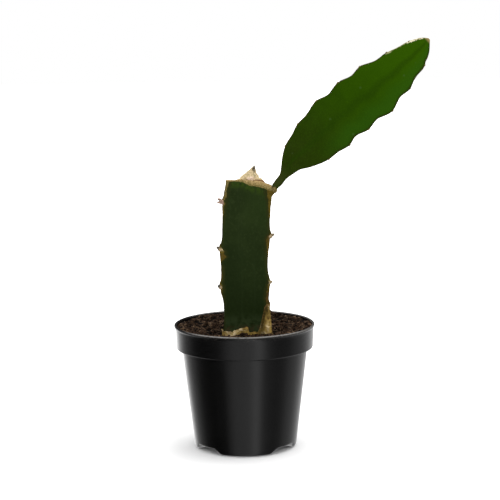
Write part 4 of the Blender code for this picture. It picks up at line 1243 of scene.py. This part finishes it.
# Place across the front, and how high the skin reaches there.
SKIN_TOP = (
    (-0.022, 0.108), (-0.0178, 0.1042), (-0.0139, 0.1034), (-0.0106, 0.103), (-0.0057, 0.1047),
    (-0.0024, 0.1058), (0.0015, 0.1069), (0.0035, 0.1064), (0.0041, 0.1019), (0.012, 0.1019),
    (0.0129, 0.104), (0.0139, 0.1072), (0.0153, 0.112), (0.0174, 0.118), (0.019, 0.124), (0.0203, 0.1265),
    (0.0235, 0.128),
)


def foot_skin_rings():
    """The sleeve's outer side going up, then its inner side coming down: a ring-shaped grid.

    Each row lies a share of the way up to the column's own top. The stem's point there is pushed out by
    flakes, which are noise of two sizes, and by a curl that grows with the fourth power of the share.
    Where the skin lies close, on the right, it is pushed out less.
    """
    outline = stem_outline(0.1003)
    front = np.interp(outline[:, 0], *np.array(SKIN_TOP).T)
    back = 0.103 + 0.0012 * np.sin(outline[:, 0] * 400)
    tops = np.where(outline[:, 1] < -0.004, front, back)
    tops = tops + 0.0006 * noise(outline * (1, 1, 0), 0.0022, 51, 2)
    share = np.linspace(0, 1, SKIN_ROWS)[:, None]
    heights = SKIN_BOTTOM + share * (tops - SKIN_BOTTOM)
    core = stem_points(heights)
    flakes = noise(core * (1, 1, 1.4), 0.0034, 53, 2) + 0.5 * noise(core, 0.0013, 57)
    curl = share**4 * (0.0007 + 0.0005 * noise(core, 0.004, 59))
    close = 1 - 0.85 * eased(core[..., 0], 0.008, 0.015) * eased(heights, 0.101, 0.108)
    stands = np.clip(0.00055 + 0.0005 * flakes + curl, 0.00014, 0.0019)
    outer = np.clip(stands * close, 0.0005, None)
    inner = np.clip(outer - 0.0003 - 0.0002 * (1 - share), 0.00003, None)
    out = grid_normals(core)
    rows = np.concatenate([core + out * outer[..., None], (core + out * inner[..., None])[::-1]])
    shares = np.concatenate([share + 0 * flakes, (share + 0 * flakes)[::-1]])
    pale = bell(rows[..., 0], -0.0108, 0.0042)
    pale = pale + 0.5 * bell(rows[..., 0], 0.02, 0.0016) * bell(rows[..., 2], 0.1065, 0.004)
    shade = eased(rows[..., 0], 0.0105, 0.0125) * eased(rows[..., 0], 0.019, 0.0165)
    shade = np.maximum(0.9 * shade, 0.72 * eased(rows[..., 2], 0.1125, 0.1175))
    right = eased(core[..., 0], 0.013, 0.015)
    near_top = right * eased(core[..., 0], 0.0212, 0.02) * eased(tops - heights, 0.0108, 0.0066)
    shade = np.maximum(shade, 1.15 * np.concatenate([near_top, near_top[::-1]]))
    stands = stands + right * (0.00018 - 0.0003 * eased(heights, 0.112, 0.118))
    return rows, shares, np.concatenate([stands, stands[::-1]]) / 0.001, pale, shade


def ring_shaped_faces(rows, columns):
    """Quads of a grid that closes both round its columns and over its rows."""
    c = np.arange(columns)
    beside, last = (c + 1) % columns, (rows - 1) * columns
    seam = np.column_stack([last + c, last + beside, beside, c])
    return np.concatenate([grid_quads(rows, columns), seam]).tolist()


def foot_skin_material():
    """Papery flakes: golden brown, cream plus painted highlight on high ones, red-brown plus painted
    shade in hollows, red-brown at torn edges.
    """
    material, tree, _ = new_material("papery_skin", 0.75, 0.12)
    share, stands = attribute(tree, "share"), attribute(tree, "stands_out")
    gold = mixed(mottle(tree, 380, 0.35, 0.6), (0.14, 0.088, 0.018), (0.31, 0.205, 0.052))
    # Painted shade: the low-lying skin between the flakes is darkened to red-brown, over its own colour.
    low = mixed(ranged(stands, 0.38, 0.14), gold, (0.06, 0.028, 0.006))
    cream = mixed(mottle(tree, 520, 0.4, 0.6), (0.46, 0.33, 0.14), (0.8, 0.64, 0.37))
    # Painted highlight: the highest flakes are lightened to cream, over their own paleness.
    high = times(ranged(stands, 0.75, 1.15), mottle(tree, 150, 0.42, 0.58))
    skin = mixed(high, low, cream)
    skin = mixed(times(attribute(tree, "pale"), mottle(tree, 300, 0.24, 0.46)), skin, cream)
    brown = mixed(mottle(tree, 420, 0.3, 0.7), (0.027, 0.017, 0.002), (0.066, 0.043, 0.006))
    skin = mixed(times(attribute(tree, "shade"), 0.9), skin, brown)
    torn = times(ranged(share, 0.9, 0.99), mottle(tree, 240, 0.4, 0.62))
    skin = mixed(torn, skin, (0.095, 0.05, 0.017))
    return dressed(material, skin, grain(tree, 700, 0.7), 0.00025)


papery = foot_skin_material()
rings, share, stands_out, pale, shade = foot_skin_rings()
add_piece(
    "foot_flakes", rings.reshape(-1, 3), ring_shaped_faces(*rings.shape[:2]), papery,
    ("corky_foot",), {"share": share, "stands_out": stands_out, "pale": pale, "shade": shade},
)

# %% [markdown]
# The pot is a moulding, turned round its axis except at the foot, where four arched recesses are
# pressed up into it. So its surface is a profile carried round a circle, and the profile's lower
# points are lifted by the arch's height at their own place.

# %% The pot's measures
POT_HEIGHT = 0.1078
LIP_RADIUS = 0.0607
BAND_TOP_RADIUS = 0.0597
BAND_FOOT_RADIUS = 0.0591
BAND_FOOT_HEIGHT = 0.0887
SHOULDER_RADIUS = 0.0541
SHOULDER_HEIGHT = 0.0859
WALL_FOOT_RADIUS = 0.0438
POT_WALL = 0.0012
POT_FLOOR = 0.0015
CORNER = 0.0009
LIP_ROLL = 0.0011
# The rounding between underside and wall, on the ground and over a recess.
FOOT_ROUNDING = 0.003
RECESS_ROUNDING = 0.0011
RECESS_TURNS = np.radians((38.5, 141.5, 218.5, 321.5))
RECESS_HEIGHT = 0.0055
RECESS_FOOT_HALF = 0.018
RECESS_ROOF_HALF = 0.0092
RECESS_INNER_RADIUS = 0.028
RECESS_SLOPE_HALF = 0.0008
# Each kind of drain hole: its radius, and how far its middle lies from the axis.
DRAIN_HOLES = (("roof_hole", 0.0034, 0.0355), ("floor_hole", 0.0022, 0.016))
FLOOR_TURNS = np.radians((0, 90, 180, 270))
POT_COLUMNS = 288


def recess_lift(x, y):
    """Height of the underside: over each recess an arch, flat on top, falling in an S to the ground."""
    lift = np.zeros(np.broadcast(x, y).shape)
    for turn in RECESS_TURNS:
        outwards = x * math.cos(turn) + y * math.sin(turn)
        sideways = np.abs(-x * math.sin(turn) + y * math.cos(turn))
        arch = 1 - eased(sideways, RECESS_ROOF_HALF, RECESS_FOOT_HALF)
        slope = RECESS_INNER_RADIUS - RECESS_SLOPE_HALF, RECESS_INNER_RADIUS + RECESS_SLOPE_HALF
        lift = np.maximum(lift, RECESS_HEIGHT * arch * eased(outwards, *slope))
    return lift


def arc(middle, radius, first, last, steps):
    """Points (radius, height) on a circle between two angles in degrees."""
    turns = np.radians(np.linspace(first, last, steps))
    return [(middle[0] + radius * math.cos(turn), middle[1] + radius * math.sin(turn)) for turn in turns]


print("recess height at its middle:", float(recess_lift(*(0.04 * direction(RECESS_TURNS[0])))))

# %% Pot shell
def wall_radius(height):
    """The plain tapering wall's outer radius."""
    slope = (SHOULDER_RADIUS - WALL_FOOT_RADIUS) / SHOULDER_HEIGHT
    return WALL_FOOT_RADIUS + slope * height


def pot_upper_profile():
    """From the top of the plain wall out under the band, up the band, over the lip and down inside."""
    step, band_top = BAND_FOOT_HEIGHT, POT_HEIGHT - 0.003
    under = [
        *arc((SHOULDER_RADIUS + CORNER, step - 0.003), CORNER, 180, 98, 6),
        (BAND_FOOT_RADIUS - 0.0022, step - 0.0017),
        *arc((BAND_FOOT_RADIUS - CORNER, step - 0.0004), CORNER, -70, 0, 7),
    ]
    share = np.linspace(0.04, 1, 9)
    radii = BAND_FOOT_RADIUS + share * (BAND_TOP_RADIUS - BAND_FOOT_RADIUS)
    band = np.column_stack([radii, step + share * (band_top - step)]).tolist()
    lip = arc((LIP_RADIUS - LIP_ROLL, POT_HEIGHT - LIP_ROLL), LIP_ROLL, -52, 180, 20)
    inner, below = BAND_FOOT_RADIUS - POT_WALL, SHOULDER_RADIUS - POT_WALL
    inside = [
        (BAND_TOP_RADIUS - POT_WALL, band_top), (inner, step + 0.0008), (inner - 0.0004, step + 0.0001),
        (inner - 0.0017, step - 0.0005), (below + 0.001, step - 0.0009), (below + 0.0002, step - 0.0018),
        (below, SHOULDER_HEIGHT),
    ]
    return np.array(under + band + lip + inside)


def pot_rings():
    """All rings of the shell: underside, rounded foot, wall, band, lip, inside wall and inside floor."""
    turn = np.linspace(0, 2 * math.pi, POT_COLUMNS, endpoint=False)
    circle = np.column_stack([np.cos(turn), np.sin(turn)])

    def ring(radius, height):
        """A ring at one radius and height, or at those of each column."""
        return at_height(circle * np.reshape(radius, (-1, 1)), height)

    def underside(radius, above=0.0):
        """A ring that follows the underside, so far above it."""
        flat = circle * np.reshape(radius, (-1, 1))
        return at_height(flat, recess_lift(*flat.T) + above)

    foot_lift = recess_lift(*(WALL_FOOT_RADIUS * circle).T)
    rounding = FOOT_ROUNDING - (FOOT_ROUNDING - RECESS_ROUNDING) * foot_lift / RECESS_HEIGHT
    edge = WALL_FOOT_RADIUS - rounding
    rows = [underside(share * edge) for share in np.linspace(0.03, 1, 42)]
    for quarter in np.radians((75, 60, 45, 30, 15, 0)):
        height = foot_lift + rounding * (1 - math.sin(quarter))
        rows.append(ring(wall_radius(height) - rounding * (1 - math.cos(quarter)), height))
    for share in np.linspace(0, 1, 40)[1:] ** 1.35:
        low = foot_lift + rounding
        height = low + share * (SHOULDER_HEIGHT - 0.0012 - low)
        rows.append(ring(wall_radius(height), height))
    rows += [ring(radius, height) for radius, height in pot_upper_profile()]
    inner_foot = WALL_FOOT_RADIUS - POT_WALL
    for share in np.linspace(0, 1, 8)[1:]:
        low = POT_FLOOR + foot_lift + 0.0022
        height = SHOULDER_HEIGHT + share * (low - SHOULDER_HEIGHT)
        rows.append(ring(wall_radius(height) - POT_WALL, height))
    rows += [underside(share * (inner_foot - 0.0012), POT_FLOOR) for share in np.linspace(1, 0.03, 22)]
    return np.array(rows)


def cylinder_mesh(name, radius, bottom, top, place, columns=28):
    """A closed cylinder: the same circle at two heights."""
    turn = np.linspace(0, 2 * math.pi, columns, endpoint=False)
    flat = np.column_stack([place[0] + radius * np.cos(turn), place[1] + radius * np.sin(turn)])
    rings = np.array([at_height(flat, height) for height in (bottom, top)])
    points, faces = closed_grid(rings, (*place, bottom), (*place, top))
    mesh = bpy.data.meshes.new(name)
    mesh.from_pydata(points.tolist(), [], faces)
    return mesh


def cut_drain_holes(pot):
    """Eight drain holes: four in the floor and four through the recesses' roofs."""
    collection = bpy.data.collections.new("drain_holes")
    for turns in zip(RECESS_TURNS, FLOOR_TURNS):
        for (name, radius, away), turn in zip(DRAIN_HOLES, turns):
            mesh = cylinder_mesh(name, radius, -0.002, 0.009, away * direction(turn))
            collection.objects.link(bpy.data.objects.new(name, mesh))
    cut = pot.modifiers.new("drain holes", "BOOLEAN")
    cut.operation, cut.solver, cut.operand_type = "DIFFERENCE", "EXACT", "COLLECTION"
    cut.collection = collection
    bpy.context.view_layer.update()
    solid = bpy.data.meshes.new_from_object(pot.evaluated_get(bpy.context.evaluated_depsgraph_get()))
    pot.modifiers.remove(cut)
    pot.data = solid
    for hole in list(collection.objects):
        bpy.data.objects.remove(hole)
    bpy.data.collections.remove(collection)
    solid.shade_smooth()
    solid.set_sharp_from_angle(angle=math.radians(40))


# %% [markdown]
# Black moulded plastic is not one flat black: it has a satin skin, faint rings from the mould, and a
# little dust of the peat round the lip. The rings are waves of the height, far too shallow to model.

# %% Pot material
def plastic_material():
    """Black with peat dust near the lip, a lip worn grey plus a painted highlight, and rings of the mould
    just below the band.
    """
    material, tree, shader = new_material("black_plastic_skin", 0.22, 0.5)
    _, across, height = object_place(tree)
    black = mixed(mottle(tree, 35, 0.3, 0.7), (0.0013, 0.0013, 0.0013), (0.0019, 0.0019, 0.0019))
    dust = times(mottle(tree, 900, 0.58, 0.72), ranged(height, 0.101, 0.1072))
    black = mixed(times(dust, 0.5), black, (0.085, 0.07, 0.058))
    # Wear and painted highlight: the rolled lip is lightened to grey, partly for its wear and partly for
    # the light it catches.
    lip = times(ranged(height, POT_HEIGHT - 0.0013, POT_HEIGHT - 0.0007), ranged(across, -0.056, -0.035))
    black = mixed(times(lip, mottle(tree, 260, 0.2, 0.5)), black, (0.08, 0.075, 0.07))
    rough = ranged(mottle(tree, 45, 0.3, 0.7), 0.0, 1.0, 0.2, 0.24)
    tree.links.new(rough, shader.inputs["Roughness"])
    rings = add_node(tree, "Math", {0: times(height, 2600.0)}, operation="SINE").outputs[0]
    relief = plus(grain(tree, 900, 0.3), times(rings, window(height, 0.073, 0.082, 0.085, 0.0862), 1.5))
    return dressed(material, black, relief, 0.000012)


plastic = plastic_material()
rings = pot_rings()
points, faces = closed_grid(rings, (0, 0, 0), (0, 0, POT_FLOOR))
pot = add_piece("pot_shell", points, faces, plastic, ("pot",))
cut_drain_holes(pot)
print("pot faces after the holes:", len(pot.data.polygons))

# %% [markdown]
# The peat is one body with a hole for the stem. Its surface is a grid between the stem's outline and
# the pot's wall: lumps of several sizes added up, dished round the stem, with one hollow on the left.
# A second noise, folded so that it has sharp valleys, breaks the lumps into crumbs.

# %% Peat bed
SOIL_WALL_HEIGHT = 0.1063
SOIL_STEM_HEIGHT = 0.1003
SOIL_WALL_RADIUS = 0.058
SOIL_COLUMNS = 540
SOIL_ROWS = 92
SOIL_BOTTOM = 0.0085
SOIL_HOLE_BOTTOM = STEM_BURIED_TO - 0.0006
# Radius and height of the rings under the surface: in under the band, down the wall and over the floor.
SOIL_SIDE = (
    (0.0576, 0.0899), (0.0572, 0.0891), (0.0559, 0.0885), (0.0536, 0.0881), (0.0526, 0.0868),
    (0.043, SOIL_BOTTOM), (0.025, SOIL_BOTTOM), (0.01, SOIL_BOTTOM),
)


def soil_relief(x, y):
    """Lumps of 13 and 6 mm, crumbs of 4 mm with sharp valleys between them, and grit, in metres."""
    flat = np.stack([x, y, np.zeros_like(x)], axis=-1)
    lumps = 0.0009 * noise(flat, 0.013, 61) + 0.0014 * noise(flat, 0.006, 62)
    crumbs = 0.0019 * (0.5 - np.abs(noise(flat, 0.0036, 63, 2)))
    return lumps + crumbs + 0.0004 * noise(flat, 0.0012, 64, 2)


def soil_hollow(x, y):
    """1 in the middle of the hollow on the left of the stem, falling to 0 over about a centimetre."""
    return bell(x, -0.0245, 0.0075, 4) * bell(y, -0.0095, 0.011, 4)


def soil_height(x, y):
    """The peat's surface: a dish round the stem, less its hollow and two shallow dips in front of the
    stem, plus the relief, which is calmer by the wall and in front.
    """
    rise = eased(np.hypot(x, y), 0.024, SOIL_WALL_RADIUS)
    hollow = soil_hollow(x, y)
    dish = SOIL_STEM_HEIGHT + (SOIL_WALL_HEIGHT - SOIL_STEM_HEIGHT) * rise
    corner = bell(x, -0.014, 0.011) * bell(y, -0.019, 0.01)
    front = bell(x, 0.0, 0.024, 4) * bell(y, -0.017, 0.009)
    dips = 0.003 * hollow + 0.0016 * corner + 0.001 * front + 0.0006
    return dish - dips + soil_relief(x, y) * (1 - 0.5 * rise) * (1 - 0.5 * front)


def soil_rings():
    """Up the stem's hole, across the surface to the wall, down the side and in over the bottom."""
    outline = stem_outline(SOIL_STEM_HEIGHT)
    closed = np.concatenate([outline, outline[:1]])
    length = np.concatenate([[0], np.cumsum(np.linalg.norm(np.diff(closed, axis=0), axis=1))])
    at = np.linspace(0, length[-1], SOIL_COLUMNS, endpoint=False)
    inner = np.column_stack([np.interp(at, length, closed[:, k]) for k in range(2)])
    inner = (inner - (STEM_AXIS_X, 0)) * 1.012 + (STEM_AXIS_X, 0)
    turn = np.unwrap(np.arctan2(inner[:, 1], inner[:, 0] - STEM_AXIS_X))
    outer = SOIL_WALL_RADIUS * np.column_stack([np.cos(turn), np.sin(turn)])
    share = np.linspace(0, 1, SOIL_ROWS)[:, None, None]
    top = inner + share * (outer - inner)
    surface = np.dstack([top, soil_height(top[..., 0], top[..., 1])])
    hole = [at_height(inner * 0.98, SOIL_HOLE_BOTTOM), at_height(inner, 0.092)]
    side = [at_height(outer / SOIL_WALL_RADIUS * radius, height) for radius, height in SOIL_SIDE]
    return np.concatenate([hole, surface, side])


def peat_material(name, dark, light, dry):
    """Damp peat: nearly black as painted shade in the relief's low parts and the hollow, brown on the
    crumbs, with pale dry specks.
    """
    material, tree, _ = new_material(name, 0.92, 0.05)
    place, _, _ = object_place(tree)
    brown = mixed(mottle(tree, 420, 0.35, 0.62), dark, light)
    cells = add_node(tree, "TexVoronoi", {"Vector": place, "Scale": 430.0})
    tint = add_node(tree, "SeparateColor", {0: cells.outputs["Color"]}).outputs[0]
    brown = mixed(ranged(tint, 0.78, 1.0, 0.0, 0.85), brown, dry)
    brown = mixed(ranged(tint, 0.42, 0.1, 0.0, 0.85), brown, (0.0035, 0.0022, 0.0015))
    # Painted shade: nearly black where the stored value is low.
    brown = mixed(ranged(attribute(tree, "crest_light"), 0.75, 0.25), brown, (0.0022, 0.0014, 0.001))
    return dressed(material, brown, grain(tree, 1600, 0.7), 0.0003)


peat = peat_material(
    "damp_peat", (0.006, 0.0032, 0.0018), (0.029, 0.0155, 0.0085), (0.105, 0.066, 0.039)
)
rings = soil_rings()
flat = rings[..., 0], rings[..., 1]
# Painted shade: this value is low in the low parts of the relief and in the hollow, where the peat is
# painted nearly black.
crest_light = 0.36 + soil_relief(*flat) / 0.0026 - 0.9 * soil_hollow(*flat)
points, faces = closed_grid(rings, (STEM_AXIS_X, 0, SOIL_HOLE_BOTTOM), (0, 0, SOIL_BOTTOM))
add_piece("peat_bed", points, faces, peat, ("soil",), {"crest_light": end_values(crest_light, 0, 0)})

# %% [markdown]
# Loose crumbs and fibres lie on the bed. A crumb is a ball of a few dozen faces with noise on it; a
# fibre is a thin bent tube. Both are scattered with fixed seeds and lie at the bed's own height.

# %% Crumbs and fibres
CRUMBS = 1500
FIBRES = 420
# How far the stem reaches from its axis: on its faces, and how much more at a rib, which is as wide as
# a bell of this half width in radians.
STEM_FACE_REACH = 0.0105
STEM_RIB_MORE = 0.0135
STEM_RIB_HALF = 0.35


def scattered(count, seed, clearance):
    """Places on the peat, even over its area, kept off the stem and the wall."""
    draw = np.random.default_rng(seed)
    radius = (SOIL_WALL_RADIUS - 0.001) * np.sqrt(draw.uniform(0, 1, count * 3))
    turn = draw.uniform(0, 2 * math.pi, count * 3)
    x, y = radius * np.cos(turn), radius * np.sin(turn)
    angle = np.arctan2(y, x - STEM_AXIS_X)
    away = [(angle - rib + math.pi) % (2 * math.pi) - math.pi for rib in RIB_ANGLES]
    nearest = np.min(np.abs(away), axis=0)
    stem_out = STEM_FACE_REACH + STEM_RIB_MORE * bell(nearest, 0, STEM_RIB_HALF)
    free = np.hypot(x - STEM_AXIS_X, y) > stem_out + clearance
    return x[free][:count], y[free][:count], draw


def crumb_rings():
    """Balls squashed and turned at random, many small and few large, pushed in and out by noise."""
    x, y, draw = scattered(CRUMBS, 71, 0.0006)
    count = len(x)
    size = 0.0005 + 0.0017 * draw.uniform(0, 1, count) ** 2.4
    turn = draw.uniform(0, 2 * math.pi, count)
    lean = draw.uniform(-0.5, 0.5, count)
    first = unit(np.column_stack([np.cos(turn), np.sin(turn), lean]))
    second = unit(np.cross((0, 0, 1.0), first))
    frames = np.stack([first, second, np.cross(first, second)], axis=1)
    radii = size[:, None] * draw.uniform((0.9, 0.6, 0.5), (1.6, 1.1, 0.9), (count, 3))
    places = np.column_stack([x, y, soil_height(x, y) + size * 0.15])
    balls = small_balls(places, frames, radii, 5, 8)
    bumps = noise(balls, 0.0009, 73)[..., None] * 0.35
    return places[:, None, None] + (balls - places[:, None, None]) * (1 + bumps)


def fibre_rings(steps=7, corners=4):
    """Thin tubes: each line turns as it goes, follows the peat halfway, and thins out to both ends."""
    x, y, draw = scattered(FIBRES, 81, 0.0015)
    count = len(x)
    length = draw.uniform(0.003, 0.01, count)
    start = draw.uniform(0, 2 * math.pi, count)[:, None]
    turn = start + np.linspace(-1, 1, steps) * draw.uniform(-0.7, 0.7, count)[:, None]
    s = np.linspace(-0.5, 0.5, steps)
    px = x[:, None] + np.cos(turn) * s * length[:, None]
    py = y[:, None] + np.sin(turn) * s * length[:, None]
    inside = np.minimum(1, (SOIL_WALL_RADIUS - 0.0008) / np.hypot(px, py))
    px, py = px * inside, py * inside
    ground = soil_height(px, py)
    lifted = ground.max(axis=1, keepdims=True) * 0.5 + ground * 0.5 + 0.0001
    line = np.stack([px, py, lifted], axis=-1)
    ahead = np.gradient(line, axis=1)
    side = unit(np.cross(ahead, (0, 0, 1.0)))
    radius = draw.uniform(0.00008, 0.00022, count)[:, None] * (1 - 1.2 * s**2)
    return around(line, side, unit(np.cross(side, ahead)), radius, corners)


crumb = peat_material(
    "dry_crumbs", (0.006, 0.0034, 0.0019), (0.036, 0.02, 0.0112), (0.125, 0.08, 0.049)
)
rings = crumb_rings()
middles = rings.mean(axis=(1, 2))
points, faces = tubes(rings)
# Painted shade: crumbs in the hollow get a low value and are painted nearly black with it.
crest_light = np.repeat(0.9 - 1.1 * soil_hollow(*middles.T[:2]), len(points) // len(rings))
add_piece("peat_crumbs", points, faces, crumb, values={"crest_light": crest_light})
fibre = peat_material("peat_fibre", (0.045, 0.027, 0.015), (0.11, 0.074, 0.045), (0.2, 0.15, 0.1))
points, faces = tubes(fibre_rings())
add_piece("peat_fibres", points, faces, fibre, values={"crest_light": np.ones(len(points))})
